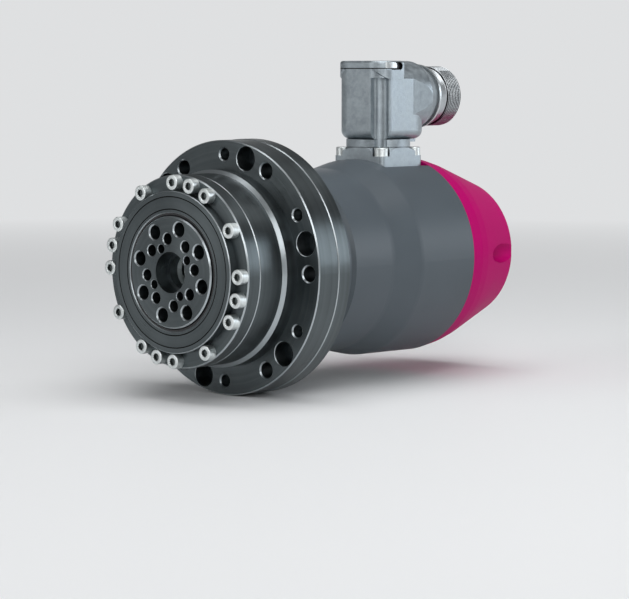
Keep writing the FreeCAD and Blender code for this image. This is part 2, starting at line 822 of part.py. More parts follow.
def clamp_screws():
    screw = cap_screw(M25["shank_r"], clamp_screw_length, M25["head_r"], clamp_head_height, M25["socket"])
    screw = screw.rotated(CENTRE, UP, 180).translated(Vector(0, clamp_rear_y, 0))
    return group(ring_of(at_radius(screw, clamp_screw_circle_r), clamp_screw_count, output_angle))


def wave_cam():
    cam = Part.Face(ellipse_wire(cam_r, wave_height, cam_front_y)).extrude(MOTOR_SIDE * cam_length)
    return cam.cut([rod(nose_shaft_r, cam_front_y, cam_rear_y), wave_key()])


def wave_key():
    return block(-key_size / 2, key_size / 2, wave_y - key_length / 2, wave_y + key_length / 2,
                 nose_shaft_r - key_size / 2, nose_shaft_r + key_size / 2)


def cam_clip():
    """Retaining ring that keeps the cam on the shaft."""
    inner_r = nose_shaft_r - clip_groove
    return tube(inner_r, inner_r + clip_width + clip_groove, cam_front_y - clip_length, cam_front_y)


def wave_bearing_inner():
    return ellipse_ring(cam_r, wave_inner_race_r,
                        wave_y - wave_bearing_length / 2, wave_y + wave_bearing_length / 2)


def wave_bearing_outer():
    return ellipse_ring(cup_inner_r - wave_race, cup_inner_r,
                        wave_y - wave_bearing_length / 2, wave_y + wave_bearing_length / 2)


def wave_bearing_balls():
    balls = []
    for i in range(wave_ball_count):
        a = 2 * math.pi * i / wave_ball_count
        x = (wave_ball_circle_r + wave_height) * math.cos(a)
        z = (wave_ball_circle_r - wave_height) * math.sin(a)
        balls.append(Part.makeSphere(wave_ball_r, Vector(x, wave_y, z)))
    return group(balls)


# ---------------------------------------------------------------- shaft and bearings

def motor_shaft():
    nose_y = cam_front_y - clip_length - nose_shaft_length
    core_seat_y = stator_front_y - body_gap
    groove_r = nose_shaft_r - clip_groove
    encoder_end_y = board_y + board_length
    shaft = revolve([
        (0, nose_y),
        (nose_shaft_r - edge_break, nose_y),
        (nose_shaft_r, nose_y + edge_break),
        (nose_shaft_r, cam_front_y - clip_length),
        (groove_r, cam_front_y - clip_length),
        (groove_r, cam_front_y),
        (nose_shaft_r, cam_front_y),
        (nose_shaft_r, cam_rear_y),
        (front_journal_r, cam_rear_y),
        (front_journal_r, front_bearing_y + front_bearing_length),
        (shoulder_r, front_bearing_y + front_bearing_length),
        (shoulder_r, core_seat_y),
        (core_seat_r, core_seat_y),
        (core_seat_r, rear_bearing_y),
        (rear_journal_r, rear_bearing_y),
        (rear_journal_r, rear_bearing_end_y),
        (encoder_nose_r, rear_bearing_end_y),
        (encoder_nose_r, encoder_end_y - edge_break),
        (encoder_nose_r - edge_break, encoder_end_y),
        (0, encoder_end_y),
    ])
    return shaft.cut(wave_key())


def shaft_seal():
    """Radial seal between the gear and the motor."""
    lip_r = front_journal_r + running_gap
    end_y = seal_start_y + shaft_seal_length
    return revolve([
        (shaft_seal_r, seal_start_y),
        (shaft_seal_r, end_y),
        (lip_r + body_gap, end_y),
        (lip_r, end_y - shaft_seal_length / 3),
        (lip_r + body_gap, seal_start_y + shaft_seal_length / 3),
        (shaft_seal_r - shaft_seal_length / 3, seal_start_y + shaft_seal_length / 3),
        (shaft_seal_r - shaft_seal_length / 3, seal_start_y),
    ])


def bearing_outer(journal_r, outer_r, start_y, length):
    """Outer race of a sealed ball bearing with both of its shields."""
    land_r = outer_r - race_thickness
    shield_r = journal_r + race_thickness + body_gap / 2
    end_y = start_y + length
    return revolve([
        (outer_r, start_y),
        (outer_r, end_y),
        (shield_r, end_y),
        (shield_r, end_y - shield_length),
        (land_r, end_y - shield_length),
        (land_r, start_y + shield_length),
        (shield_r, start_y + shield_length),
        (shield_r, start_y),
    ])


def bearing_inner(journal_r, start_y, length):
    return tube(journal_r, journal_r + race_thickness, start_y, start_y + length)


# ---------------------------------------------------------------- motor

def stator_core():
    """Laminated ring with inward teeth that widen to shoes at the air gap."""
    back = tube(slot_bottom_r, stator_r, stator_front_y, stator_rear_y)
    tooth = block(stator_bore_r, slot_bottom_r + stator_back / 4, stator_front_y, stator_rear_y,
                  -tooth_width / 2, tooth_width / 2)
    shoe_width = 2 * stator_bore_r * math.tan(math.pi / slot_count) - slot_opening
    shoe = block(0, stator_bore_r + shoe_thickness, stator_front_y, stator_rear_y,
                 -shoe_width / 2, shoe_width / 2)
    core = back.fuse(ring_of(tooth.fuse(shoe), slot_count))
    return core.cut(rod(stator_bore_r, stator_front_y, stator_rear_y)).removeSplitter()


def stator_windings():
    """One coil round each stator tooth."""
    inner_r = stator_bore_r + shoe_thickness + coil_gap
    outer_r = slot_bottom_r - coil_root_gap
    coil_width = 2 * (inner_r * math.tan(math.pi / slot_count) - coil_side_gap)
    coil = block(inner_r, outer_r,
                 stator_front_y - coil_overhang, stator_rear_y + coil_overhang,
                 -coil_width / 2, coil_width / 2)
    opening = block(inner_r - coil_gap, outer_r + coil_gap,
                    stator_front_y - coil_gap, stator_rear_y + coil_gap,
                    -tooth_width / 2 - coil_gap, tooth_width / 2 + coil_gap)
    return group(ring_of(coil.cut(opening), slot_count))


def rotor_core():
    return tube(core_seat_r, magnet_inner_r, stator_front_y, stator_rear_y)


def rotor_magnets():
    """Curved magnets on the rotor core."""
    outline = Part.makePolygon([
        Vector(magnet_inner_r, stator_front_y, 0),
        Vector(magnet_outer_r, stator_front_y, 0),
        Vector(magnet_outer_r, stator_rear_y, 0),
        Vector(magnet_inner_r, stator_rear_y, 0),
        Vector(magnet_inner_r, stator_front_y, 0),
    ])
    magnet = Part.Face(outline).revolve(CENTRE, OUTPUT_SIDE, magnet_angle)
    return group(ring_of(magnet, magnet_count))


def motor_housing():
    """Painted housing: neck, slim barrel, a soft taper and the wide rear body with the connector seat."""
    body = revolve([
        (stator_r, housing_front_y),
        (housing_spigot_r, housing_front_y),
        (housing_spigot_r, adapter_rear_y),
        (neck_r, adapter_rear_y),
        (neck_r, neck_end_y),
        (barrel_r, barrel_start_y),
        (barrel_r, taper_start_y),
        (taper_r, taper_end_y),
        (body_r, housing_rear_y),
        (shield_seat_r, housing_rear_y),
        (shield_seat_r, rear_shield_y),
        (stator_r, rear_shield_y),
    ])
    taper_edges = [
        e for e in body.Edges
        if e.Closed and hasattr(e.Curve, "Radius")
        and (abs(e.Curve.Center.y - taper_start_y) < 1e-6 or abs(e.Curve.Center.y - taper_end_y) < 1e-6)
    ]
    body = body.makeFillet(taper_blend_r, taper_edges)
    seat = block(-body_r, body_r, connector_y - base_width / 2, housing_rear_y, base_seat_z, body_r + 1)
    passage = post(swivel_bore_r + wire_way_gap, 0, base_seat_z, 0, connector_y)
    thread = at_radius(rod(M4["shank_r"], cap_seat_y - cap_screw_length, housing_rear_y), cap_screw_circle_r)
    base_threads = [
        place_connector(post(M3["shank_r"], base_seat_z - base_screw_engagement, base_seat_z, x, y))
        for x, y in base_screw_places()
    ]
    return body.cut([seat, passage] + ring_of(thread, cap_screw_count, cap_screw_angle) + base_threads)


def rear_shield():
    """Carries the rear bearing and closes the motor towards the encoder."""
    return revolve([
        (rear_bearing_r - race_thickness, rear_shield_y),
        (shield_seat_r, rear_shield_y),
        (shield_seat_r, housing_rear_y),
        (rear_hub_r, housing_rear_y),
        (rear_hub_r, rear_bearing_end_y),
        (rear_bearing_r, rear_bearing_end_y),
        (rear_bearing_r, rear_bearing_y),
        (rear_bearing_r - race_thickness, rear_bearing_y),
    ])


# ---------------------------------------------------------------- encoder and end cap

def encoder_disc():
    hub = tube(encoder_nose_r, rear_journal_r + race_thickness, rear_bearing_end_y, disc_y)
    disc = tube(encoder_nose_r, disc_r, disc_y, disc_y + disc_length)
    return hub.fuse(disc).removeSplitter()


def encoder_board():
    """Circuit board with the read head that faces the disc."""
    board = tube(board_bore_r, board_r, board_y, board_y + board_length)
    head = block(disc_r - read_head_inset, disc_r, disc_y + disc_length + body_gap, board_y,
                 -read_head_width / 2, read_head_width / 2)
    between_standoffs = 180.0 / standoff_count
    return board.fuse(turned(head, between_standoffs))


def encoder_standoffs():
    standoff = at_radius(rod(standoff_r, housing_rear_y, board_y), standoff_circle_r)
    return group(ring_of(standoff, standoff_count))


def end_cap():
    """Thick conical cap; each screw sits in a round pocket that runs out of the cone."""
    band_y = housing_rear_y + cap_band_length
    shoulder_y = band_y + cap_shoulder_length
    rim_y = shoulder_y + cap_cone_length
    rear_y = rim_y + cap_rim_length
    cap = revolve([
        (cap_front_bore_r, housing_rear_y),
        (body_r, housing_rear_y),
        (cap_band_r, band_y),
        (cap_shoulder_r, shoulder_y),
        (cap_rim_r, rim_y),
        (cap_rim_r - cap_rim_round, rear_y),
        (0, rear_y),
        (0, rear_y - cap_floor),
        (cap_rear_bore_r, rear_y - cap_floor),
        (cap_front_bore_r, shoulder_y),
    ])
    pocket = rod(cap_pocket_r, cap_seat_y, rear_y)
    plain = rod(M4["shank_r"] + screw_gap, housing_rear_y, cap_seat_y)
    pocket = at_radius(pocket.fuse(plain), cap_screw_circle_r)
    return cap.cut(ring_of(pocket, cap_screw_count, cap_screw_angle) + [cap_seal()])


def cap_seal():
    """Flat ring in the face of the cap, just inside the screws."""
    outer_r = cap_screw_circle_r - M4["shank_r"] - body_gap
    return tube(outer_r - cap_seal_width, outer_r, housing_rear_y, housing_rear_y + cap_seal_width)


def cap_screws():
    screw = cap_screw(length=cap_screw_length, **M4)
    screw = screw.rotated(CENTRE, UP, 180)
    screw = at_radius(screw, cap_screw_circle_r, cap_seat_y)
    return group(ring_of(screw, cap_screw_count, cap_screw_angle))


# ---------------------------------------------------------------- connector

def base_screw_places():
    sides = (-base_screw_offset, base_screw_offset)
    return [(x, y) for x in sides for y in sides]


def connector_base():
    """Square base with a round hub that slopes down to an open pocket at each corner."""
    hub_top_z = base_top_z + hub_height
    plate = rounded_prism(base_width, base_corner_r, base_seat_z, base_top_z)
    slope = Part.makeCone(hub_r + hub_flare, hub_r, hub_height, Vector(0, 0, base_top_z), UP)
    hub = rounded_prism(base_width, base_corner_r, base_top_z, hub_top_z).common(slope)
    bore = post(swivel_r + running_gap, base_seat_z, hub_top_z)
    clip_room = post(swivel_clip_r + body_gap, base_seat_z, swivel_clip_z + clip_length + swivel_gap)
    drills = []
    for x, y in base_screw_places():
        drills.append(post(M3["shank_r"] + screw_gap, base_seat_z, base_top_z, x, y))
        drills.append(post(M3["head_r"] + base_pocket_gap, base_top_z, hub_top_z, x, y))
    body = plate.fuse(hub).removeSplitter()
    return place_connector(body.cut([bore, clip_room, base_seal_shape()] + drills))


def base_seal_shape():
    ring = post(base_seal_r, base_seat_z, base_seat_z + base_seal_width)
    return ring.cut(post(base_seal_r - base_seal_width, base_seat_z, base_seat_z + base_seal_width))


def base_seal():
    return place_connector(base_seal_shape())


def base_screws():
    screw = cap_screw(length=base_screw_length, **M3).rotated(CENTRE, Vector(1, 0, 0), -90)
    screws = [screw.translated(Vector(x, y, base_top_z)) for x, y in base_screw_places()]
    return place_connector(group(screws))


def clip_groove_shape(outer_r):
    """Ring of the retaining ring's height, from the bottom of its groove to outer_r."""
    ring = post(outer_r, swivel_clip_z, swivel_clip_z + clip_length)
    return ring.cut(post(swivel_r - clip_groove, swivel_clip_z, swivel_clip_z + clip_length))


def swivel_clip():
    """Retaining ring under the base that holds the elbow down."""
    return place_connector(clip_groove_shape(swivel_clip_r))


def swivel_seal_shape():
    end_z = swivel_seal_z + swivel_seal_width
    ring = post(swivel_r + running_gap / 2, swivel_seal_z, end_z)
    return ring.cut(post(swivel_r - swivel_seal_width, swivel_seal_z, end_z))


def swivel_seal():
    return place_connector(swivel_seal_shape())


def barrel_round(radius, start, end):
    """Round along the nose axis, measured from the swivel axis."""
    return Part.makeCylinder(radius, end - start, Vector(0, start, nose_z), MOTOR_SIDE)


def lid_plan(half, start_z, end_z):
    """Upright prism with the outline of the lid: round front corners and a straight rear end."""
    prism = rounded_prism(2 * half, elbow_corner_r + lid_overhang, start_z, end_z)
    return prism.common(block(-half, half, -half, lid_rear, start_z, end_z))


def lid_skirt():
    """Wall that hangs from each side of the lid, cut away in a curve at its front corner."""
    wall = lid_plan(lid_half, skirt_z, elbow_top_z).cut(lid_plan(lid_half - skirt_wall, skirt_z, elbow_top_z))
    start_x = lid_half - skirt_return
    right = block(start_x, lid_half, -lid_half, lid_rear, skirt_z, elbow_top_z)
    left = block(-lid_half, -start_x, -lid_half, lid_rear, skirt_z, elbow_top_z)
    curve_y = skirt_curve_r - lid_half
    curve_z = skirt_z + skirt_curve_r
    corner = block(-lid_half, lid_half, -lid_half, curve_y, skirt_z, curve_z)
    curve = Part.makeCylinder(
        skirt_curve_r, 2 * lid_half, Vector(-lid_half, curve_y, curve_z), Vector(1, 0, 0))
    return wall.common(right.fuse(left)).cut(corner.cut(curve))


def key_way(start_z, end_z):
    """Room for the key and the head of a base screw at the front right corner."""
    return post(M3["head_r"] + screw_gap, start_z, end_z, base_screw_offset, -base_screw_offset)


def elbow_column():
    """Upright part of the elbow: square in front, round behind, with a notch for the key."""
    front = rounded_prism(2 * elbow_half, elbow_corner_r, elbow_z, elbow_top_z)
    front = front.common(block(-elbow_half, elbow_half, -elbow_half, lid_rear, elbow_z, elbow_top_z))
    middle = block(-elbow_half, elbow_half, lid_rear, elbow_rear_reach, elbow_z, nose_z)
    rear = post(elbow_half, elbow_z, nose_z, 0, elbow_rear_reach)
    column = front.fuse([middle, rear]).removeSplitter()
    under_edges = [e for e in column.Edges if all(abs(v.Z - elbow_z) < 1e-6 for v in e.Vertexes)]
    column = column.makeFillet(elbow_bottom_round, under_edges)
    notch_top_z = elbow_z + notch_height
    notch = block(elbow_half - notch_width, elbow_half, -elbow_half, notch_length - elbow_half,
                  elbow_z, notch_top_z)
    notch = notch.cut(post(elbow_half - body_gap, elbow_z, notch_top_z))
    return column.cut([notch, key_way(elbow_z, notch_top_z)])


def elbow_barrel():
    """Round barrel behind the lid, as wide as the column at first and then swelling to its end."""
    corners = [
        Vector(elbow_half, lid_rear, 0),
        Vector(elbow_half, swell_start, 0),
        Vector(barrel_round_r, barrel_reach, 0),
        Vector(-barrel_round_r, barrel_reach, 0),
        Vector(-elbow_half, swell_start, 0),
        Vector(-elbow_half, lid_rear, 0),
    ]
    plan = Part.Face(Part.makePolygon(corners + corners[:1])).extrude(UP * lid_top_z)
    return barrel_round(barrel_round_r, lid_rear, barrel_reach).common(plan)


def elbow_body():
    """Die cast elbow: column, round barrel with a tapered end, a lug, a neck and the swivel spigot."""
    taper = Part.makeCone(barrel_round_r, dome_r, dome_length, Vector(0, barrel_reach, nose_z), MOTOR_SIDE)
    lug_rear = elbow_rear - lug_inset
    lug = block(-lug_width / 2, lug_width / 2, lug_rear - lug_length, lug_rear,
                elbow_z - lug_drop, nose_z - sleeve_r)
    neck_z = elbow_z - neck_height
    neck = post(hub_r, neck_z, elbow_z).cut(key_way(neck_z, elbow_z))
    spigot = post(swivel_r, base_seat_z + edge_break, elbow_z)
    body = elbow_column().fuse([elbow_barrel(), taper, lug, neck, spigot]).removeSplitter()
    wire_way = post(swivel_bore_r, base_seat_z, nose_z)
    cross_way = barrel_round(swivel_bore_r - edge_break, 0, nose_start)
    insert_room = barrel_round(sleeve_r, insert_face - insert_length, nose_start)
    cuts = [clip_groove_shape(hub_r), swivel_seal_shape(), wire_way, cross_way, insert_room, lid_skirt()]
    return place_connector(body.cut(cuts))


def latch_slot(length, side):
    """Stadium that runs along one side of the lid, from its outside face inwards."""
    middle_z = lid_top_z - latch_top_gap - latch_height / 2
    start = latch_start - lid_half + latch_height / 2
    end = start + length - latch_height
    floor_x = lid_half - latch_depth
    bar = block(floor_x, lid_half, start, end, middle_z - latch_height / 2, middle_z + latch_height / 2)
    ends = [
        Part.makeCylinder(latch_height / 2, latch_depth, Vector(floor_x, y, middle_z), Vector(1, 0, 0))
        for y in (start, end)
    ]
    slot = bar.fuse(ends).removeSplitter()
    return slot if side > 0 else slot.mirror(CENTRE, Vector(1, 0, 0))


def elbow_lid():
    """Cover of the elbow, with a skirt down each side and a latch slot in each side."""
    plate = lid_plan(lid_half, elbow_top_z, lid_top_z)
    top_edges = [e for e in plate.Edges if all(abs(v.Z - lid_top_z) < 1e-6 for v in e.Vertexes)]
    plate = plate.makeFillet(lid_edge_round, top_edges)
    lid = plate.fuse(lid_skirt()).removeSplitter()
    return place_connector(lid.cut([latch_slot(latch_slot_length, side) for side in (-1, 1)]))


def lid_latches():
    """Sliding latch in the front of each side slot, flush with the side of the lid."""
    plan = lid_plan(lid_half, elbow_top_z, lid_top_z)
    latches = [latch_slot(latch_length, side).common(plan) for side in (-1, 1)]
    return place_connector(group([latch.Solids[0] for latch in latches]))


def nose_ring():
    start = nose_start + nose_ring_gap
    ring = barrel_round(nose_ring_r, start, start + nose_ring_length)
    return place_connector(ring.cut(barrel_round(nose_neck_r, start, start + nose_ring_length)))


def threaded_nose():
    """Sleeve with the coupling thread, screwed into the barrel."""
    sleeve = barrel_round(sleeve_r, nose_start - nose_insertion, nose_start)
    neck = barrel_round(nose_neck_r, nose_start, thread_start)
    thread = barrel_round(thread_r, thread_start, thread_end)
    rims = [e for e in thread.Edges if e.Closed and abs(e.Curve.Radius - thread_r) < 1e-6]
    thread = thread.makeChamfer(thread_chamfer, rims)
    nose = sleeve.fuse([neck, thread]).removeSplitter()
    return place_connector(nose.cut(barrel_round(nose_bore_r, nose_start - nose_insertion, thread_end)))


def contact_insert():
    """Insulating body that holds the contacts, with a key on its edge."""
    body = barrel_round(nose_bore_r, insert_face - insert_length, insert_face)
    key = block(-insert_key_width / 2, insert_key_width / 2, insert_face, insert_face + pin_length,
                nose_z + nose_bore_r - insert_key_width, nose_z + nose_bore_r - edge_break)
    return place_connector(body.fuse(key).cut(pin_rounds()))


def pin_rounds():
    """Pins of two sizes on two circles, from inside the insert to their tips."""
    pins = []
    for radius, circle_r, start in ((power_pin_r, power_pin_circle_r, power_pin_angle),
                                    (signal_pin_r, signal_pin_circle_r, signal_pin_angle)):
        for i in range(pin_circle_count):
            angle = math.radians(start + i * 360.0 / pin_circle_count)
            foot = Vector(circle_r * math.cos(angle), insert_face - insert_length / 2,
                          nose_z + circle_r * math.sin(angle))
            pins.append(Part.makeCylinder(radius, insert_length / 2 + pin_length, foot, MOTOR_SIDE))
    return pins


def contact_pins():
    return place_connector(group(pin_rounds()))


# ---------------------------------------------------------------- all nodes

def main():
    os.makedirs("parts", exist_ok=True)
    export("mounting_flange", mounting_flange())
    export("adapter_flange", adapter_flange())
    export("flange_joining_screws", flange_joining_screws())
    export("bearing_ring", bearing_ring())
    export("seal_retainer", seal_retainer())
    export("seal_case", seal_case())
    export("output_seal", output_seal())
    export("ring_screws", ring_screws())
    export("output_flange", output_flange())
    export("crossed_rollers", crossed_rollers())
    export("gear_ring", gear_ring())
    export("flexspline", flexspline())
    export("clamp_ring", clamp_ring())
    export("clamp_screws", clamp_screws())
    export("wave_cam", wave_cam())
    export("wave_key", wave_key())
    export("cam_clip", cam_clip())
    export("wave_bearing_inner", wave_bearing_inner())
    export("wave_bearing_outer", wave_bearing_outer())
    export("wave_bearing_balls", wave_bearing_balls())
    export("motor_shaft", motor_shaft())
    export("shaft_seal", shaft_seal())
    export("front_bearing_outer",
           bearing_outer(front_journal_r, front_bearing_r, front_bearing_y, front_bearing_length))
    export("front_bearing_inner", bearing_inner(front_journal_r, front_bearing_y, front_bearing_length))
    export("rear_bearing_outer",
           bearing_outer(rear_journal_r, rear_bearing_r, rear_bearing_y, rear_bearing_length))
    export("rear_bearing_inner", bearing_inner(rear_journal_r, rear_bearing_y, rear_bearing_length))
    export("stator_core", stator_core())
    export("stator_windings", stator_windings())
    export("rotor_core", rotor_core())
    export("rotor_magnets", rotor_magnets())
    export("motor_housing", motor_housing())
    export("rear_shield", rear_shield())
    export("encoder_disc", encoder_disc())
    export("encoder_board", encoder_board())
    export("encoder_standoffs", encoder_standoffs())
    export("end_cap", end_cap())
    export("cap_seal", cap_seal())
    export("cap_screws", cap_screws())
    export("connector_base", connector_base())
    export("base_seal", base_seal())
    export("base_screws", base_screws())
    export("swivel_clip", swivel_clip())
    export("swivel_seal", swivel_seal())
    export("elbow_body", elbow_body())
    export("elbow_lid", elbow_lid())
    export("lid_latches", lid_latches())
    export("nose_ring", nose_ring())
    export("threaded_nose", threaded_nose())
    export("contact_insert", contact_insert())
    export("contact_pins", contact_pins())


main()
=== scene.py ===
# %% [markdown]
# # Dressing a robot joint actuator
# The actuator is a metal machine part: a gear head of dark turned steel with a bolt flange, a painted
# motor housing, a coloured end cap and a cast right-angle connector. Its true shapes and sizes come
# in from the CAD model, which this lesson loads first and never moves. What is left for Blender is the
# look: the finish of every surface, the light, and the fine pieces that a CAD model keeps plain, such
# as screw threads.

import bpy
import bmesh
import json
import math
from mathutils import Matrix, Vector


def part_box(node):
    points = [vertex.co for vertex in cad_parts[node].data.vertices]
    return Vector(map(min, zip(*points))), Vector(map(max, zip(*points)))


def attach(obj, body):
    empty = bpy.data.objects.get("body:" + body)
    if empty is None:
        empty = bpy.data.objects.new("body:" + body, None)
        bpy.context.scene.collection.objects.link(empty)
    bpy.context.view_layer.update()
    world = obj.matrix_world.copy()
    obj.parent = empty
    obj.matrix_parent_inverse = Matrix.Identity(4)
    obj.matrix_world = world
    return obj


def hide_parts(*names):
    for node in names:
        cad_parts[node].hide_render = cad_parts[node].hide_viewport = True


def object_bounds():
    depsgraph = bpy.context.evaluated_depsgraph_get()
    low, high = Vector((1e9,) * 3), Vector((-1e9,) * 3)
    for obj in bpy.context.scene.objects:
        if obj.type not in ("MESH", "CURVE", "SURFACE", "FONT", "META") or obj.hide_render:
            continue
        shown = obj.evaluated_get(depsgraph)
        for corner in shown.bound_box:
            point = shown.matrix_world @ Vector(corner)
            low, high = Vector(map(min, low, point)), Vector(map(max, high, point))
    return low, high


MM = 0.001
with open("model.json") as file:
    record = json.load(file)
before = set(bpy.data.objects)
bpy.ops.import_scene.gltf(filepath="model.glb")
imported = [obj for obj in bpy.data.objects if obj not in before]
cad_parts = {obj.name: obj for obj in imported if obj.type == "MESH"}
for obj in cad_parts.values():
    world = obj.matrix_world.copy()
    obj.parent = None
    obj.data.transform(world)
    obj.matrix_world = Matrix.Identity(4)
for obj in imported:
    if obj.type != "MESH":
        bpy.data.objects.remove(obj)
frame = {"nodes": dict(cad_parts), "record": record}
cad_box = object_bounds()
nodes = frame["nodes"]
slot_of = {part["node"]: part["material_slot"] for part in frame["record"]["subparts"]}
print("CAD nodes:", len(nodes), "in a box of", [[round(v, 4) for v in corner] for corner in cad_box])

# %% [markdown]
# ## Camera
# A long lens from a little under a metre keeps the flange circles nearly true, the way machine parts are
# usually shown. The camera stands to the right of the flange and slightly above the axis of the
# actuator, so that the top of the housing and the front of the connector both show. It is placed with a
# look-at matrix, because that needs only where it stands and which way it looks.

# %% Place the camera
camera_data = bpy.data.cameras.new("product_camera")
camera_data.lens = 140.6
camera_data.sensor_width = 36.0
camera_data.clip_start = 0.05
camera = bpy.data.objects.new("product_camera", camera_data)
bpy.context.scene.collection.objects.link(camera)
camera_place = Vector((0.6294, -0.6508, 0.0728))
camera_look = Vector((-0.6654, 0.7407, -0.0930))
camera_turn = camera_look.to_track_quat("-Z", "Y").to_matrix().to_4x4()
camera.matrix_world = Matrix.Translation(camera_place) @ camera_turn
bpy.context.scene.camera = camera
bpy.context.scene.view_settings.view_transform = "Standard"
print("camera", tuple(round(v, 3) for v in camera_place), "lens", round(camera_data.lens, 1))

# %% [markdown]
# ## Floor and backdrop
# Metal shows what stands around it, so the studio is part of the finish. The floor is a plain pale
# sweep: a wide sheet that curves up into a wall behind the actuator, so that no horizon line shows.
# It is an edge, extruded along the floor and then spun through a quarter circle, because that gives
# an even curve with few faces. Near the actuator the floor takes light and shadow; farther off it
# fades to one even tone for the camera and for mirror rays, so that the wall has no dark top.

# %% Finish a mesh
def finished_mesh(name, mesh_tool, material, smooth_angle=35.0):
    """A bmesh becomes an object at the origin, with one finish and sharp corners kept sharp."""
    bmesh.ops.recalc_face_normals(mesh_tool, faces=mesh_tool.faces)
    mesh = bpy.data.meshes.new(name)
    mesh_tool.to_mesh(mesh)
    mesh_tool.free()
    mesh.materials.append(material)
    mesh.shade_smooth()
    mesh.set_sharp_from_angle(angle=math.radians(smooth_angle))
    piece = bpy.data.objects.new(name, mesh)
    bpy.context.scene.collection.objects.link(piece)
    return piece


# %% Start a finish
def new_finish(name):
    """A material with a Principled shader: returns the material, its tree and the shader."""
    material = bpy.data.materials.new(name)
    material.use_nodes = True
    tree = material.node_tree
    return material, tree, tree.nodes["Principled BSDF"]


def add_node(tree, kind, links=(), values=(), **settings):
    """One node with its settings, its plain values and what is linked into it."""
    node = tree.nodes.new(kind)
    for setting, value in settings.items():
        setattr(node, setting, value)
    for socket, value in dict(values).items():
        node.inputs[socket].default_value = value
    for socket, source in dict(links).items():
        tree.links.new(source, node.inputs[socket])
    return node


def math_node(tree, operation, first, second=None):
    """A Math node on two inputs, each a number or another node's output."""
    node = tree.nodes.new("ShaderNodeMath")
    node.operation = operation
    for i, source in enumerate(s for s in (first, second) if s is not None):
        if isinstance(source, (int, float)):
            node.inputs[i].default_value = source
        else:
            tree.links.new(source, node.inputs[i])
    return node.outputs[0]


def spread(tree, source, low, high, to_low=0.0, to_high=1.0):
    """Stretch the part of a value between low and high over a new range."""
    return add_node(tree, "ShaderNodeMapRange", {"Value": source},
                    {"From Min": low, "From Max": high, "To Min": to_low, "To Max": to_high}).outputs[0]


def object_place(tree):
    """Coordinates of the piece itself, in metres: a pattern on them stays put when the piece moves."""
    return add_node(tree, "ShaderNodeTexCoord").outputs["Object"]


# %% Build the sweep
floor_z = cad_box[0][2]
half_width, front_y, wall_y, wall_curve_r = 4.0, -3.0, 1.5, 1.2
fade_start, fade_end, even_strength = 0.30, 1.10, 0.92
studio_grey = (0.80, 0.81, 0.82, 1.0)

floor_finish, floor_tree, floor_shader = new_finish("studio_floor")
floor_shader.inputs["Roughness"].default_value = 0.6
floor_shader.inputs["Base Color"].default_value = studio_grey
from_actuator = add_node(floor_tree, "ShaderNodeVectorMath", {0: object_place(floor_tree)},
                         operation="LENGTH")
path = add_node(floor_tree, "ShaderNodeLightPath")
seen = math_node(floor_tree, "MAXIMUM", path.outputs["Is Camera Ray"], path.outputs["Is Glossy Ray"])
seen = math_node(floor_tree, "MAXIMUM", seen, path.outputs["Is Transmission Ray"])
far_away = spread(floor_tree, from_actuator.outputs["Value"], fade_start, fade_end)
even_tone = add_node(floor_tree, "ShaderNodeEmission",
                     values={"Color": studio_grey, "Strength": even_strength})
blended = add_node(floor_tree, "ShaderNodeMixShader", {
    0: math_node(floor_tree, "MULTIPLY", seen, far_away),
    1: floor_shader.outputs[0], 2: even_tone.outputs[0]})
floor_tree.links.new(blended.outputs[0], floor_tree.nodes["Material Output"].inputs["Surface"])

sweep = bmesh.new()
front = [sweep.verts.new((x, front_y, floor_z)) for x in (-half_width, half_width)]
edge = sweep.edges.new(front)
grown = bmesh.ops.extrude_edge_only(sweep, edges=[edge])["geom"]
far_edge = [e for e in grown if isinstance(e, bmesh.types.BMEdge) and edge.verts[0] not in e.verts
            and edge.verts[1] not in e.verts]
bmesh.ops.translate(sweep, verts=far_edge[0].verts[:], vec=(0.0, wall_y - front_y, 0.0))
bmesh.ops.spin(sweep, geom=far_edge, cent=(0.0, wall_y, floor_z + wall_curve_r),
               axis=(1.0, 0.0, 0.0), angle=math.radians(90.0), steps=24)
floor = finished_mesh("studio_sweep", sweep, floor_finish, 60.0)
print("sweep faces:", len(floor.data.polygons))

# %% [markdown]
# ## Light
# The key is a tall panel at the upper right, in front of the flange: it lights the right-hand side of
# every rim and hole. A wide panel overhead draws the bright band along the top of the housing, one
# beside the connector lights its flat side, and one behind on the right stands where the turned rims
# mirror it, so that they carry a cool band. A small one in front makes the bright rays of the turned
# faces. Area lights are used, because turned metal shows the shape of a lamp and a large panel leaves
# a soft band.

# %% Hang the lights
def soft_light(name, place, target, width, height, power, colour=(1.0, 1.0, 1.0)):
    """A rectangular soft light that looks at a target."""
    data = bpy.data.lights.new(name, "AREA")
    data.shape = "RECTANGLE"
    data.size = width
    data.size_y = height
    data.energy = power
    data.color = colour
    lamp = bpy.data.objects.new(name, data)
    bpy.context.scene.collection.objects.link(lamp)
    aim = (Vector(target) - Vector(place)).to_track_quat("-Z", "Y")
    lamp.matrix_world = Matrix.Translation(Vector(place)) @ aim.to_matrix().to_4x4()
    return lamp


centre = (0.0, 0.05, 0.01)
backing_strength = 0.18
cool_white = (0.86, 0.93, 1.0)
lamps = [
    soft_light("overhead_panel", (0.15, 0.10, 1.0), centre, 0.7, 1.2, 8.5),
    soft_light("key_panel", (1.0, -0.75, 0.75), centre, 0.6, 0.9, 7.0),
    soft_light("side_panel", (1.25, -0.25, 0.28), centre, 0.4, 0.7, 1.8),
    soft_light("rim_panel", (1.0, 1.15, 0.34), centre, 0.35, 0.65, 3.4, cool_white),
    soft_light("front_fill", (-0.45, -1.15, 0.42), centre, 0.6, 0.6, 3.6),
]
world = bpy.data.worlds.new("studio")
bpy.context.scene.world = world
world.use_nodes = True
world_tree = world.node_tree
backing = world_tree.nodes["Background"]
backing.inputs["Color"].default_value = studio_grey
backing.inputs["Strength"].default_value = backing_strength
print("lights:", [lamp.name for lamp in lamps])

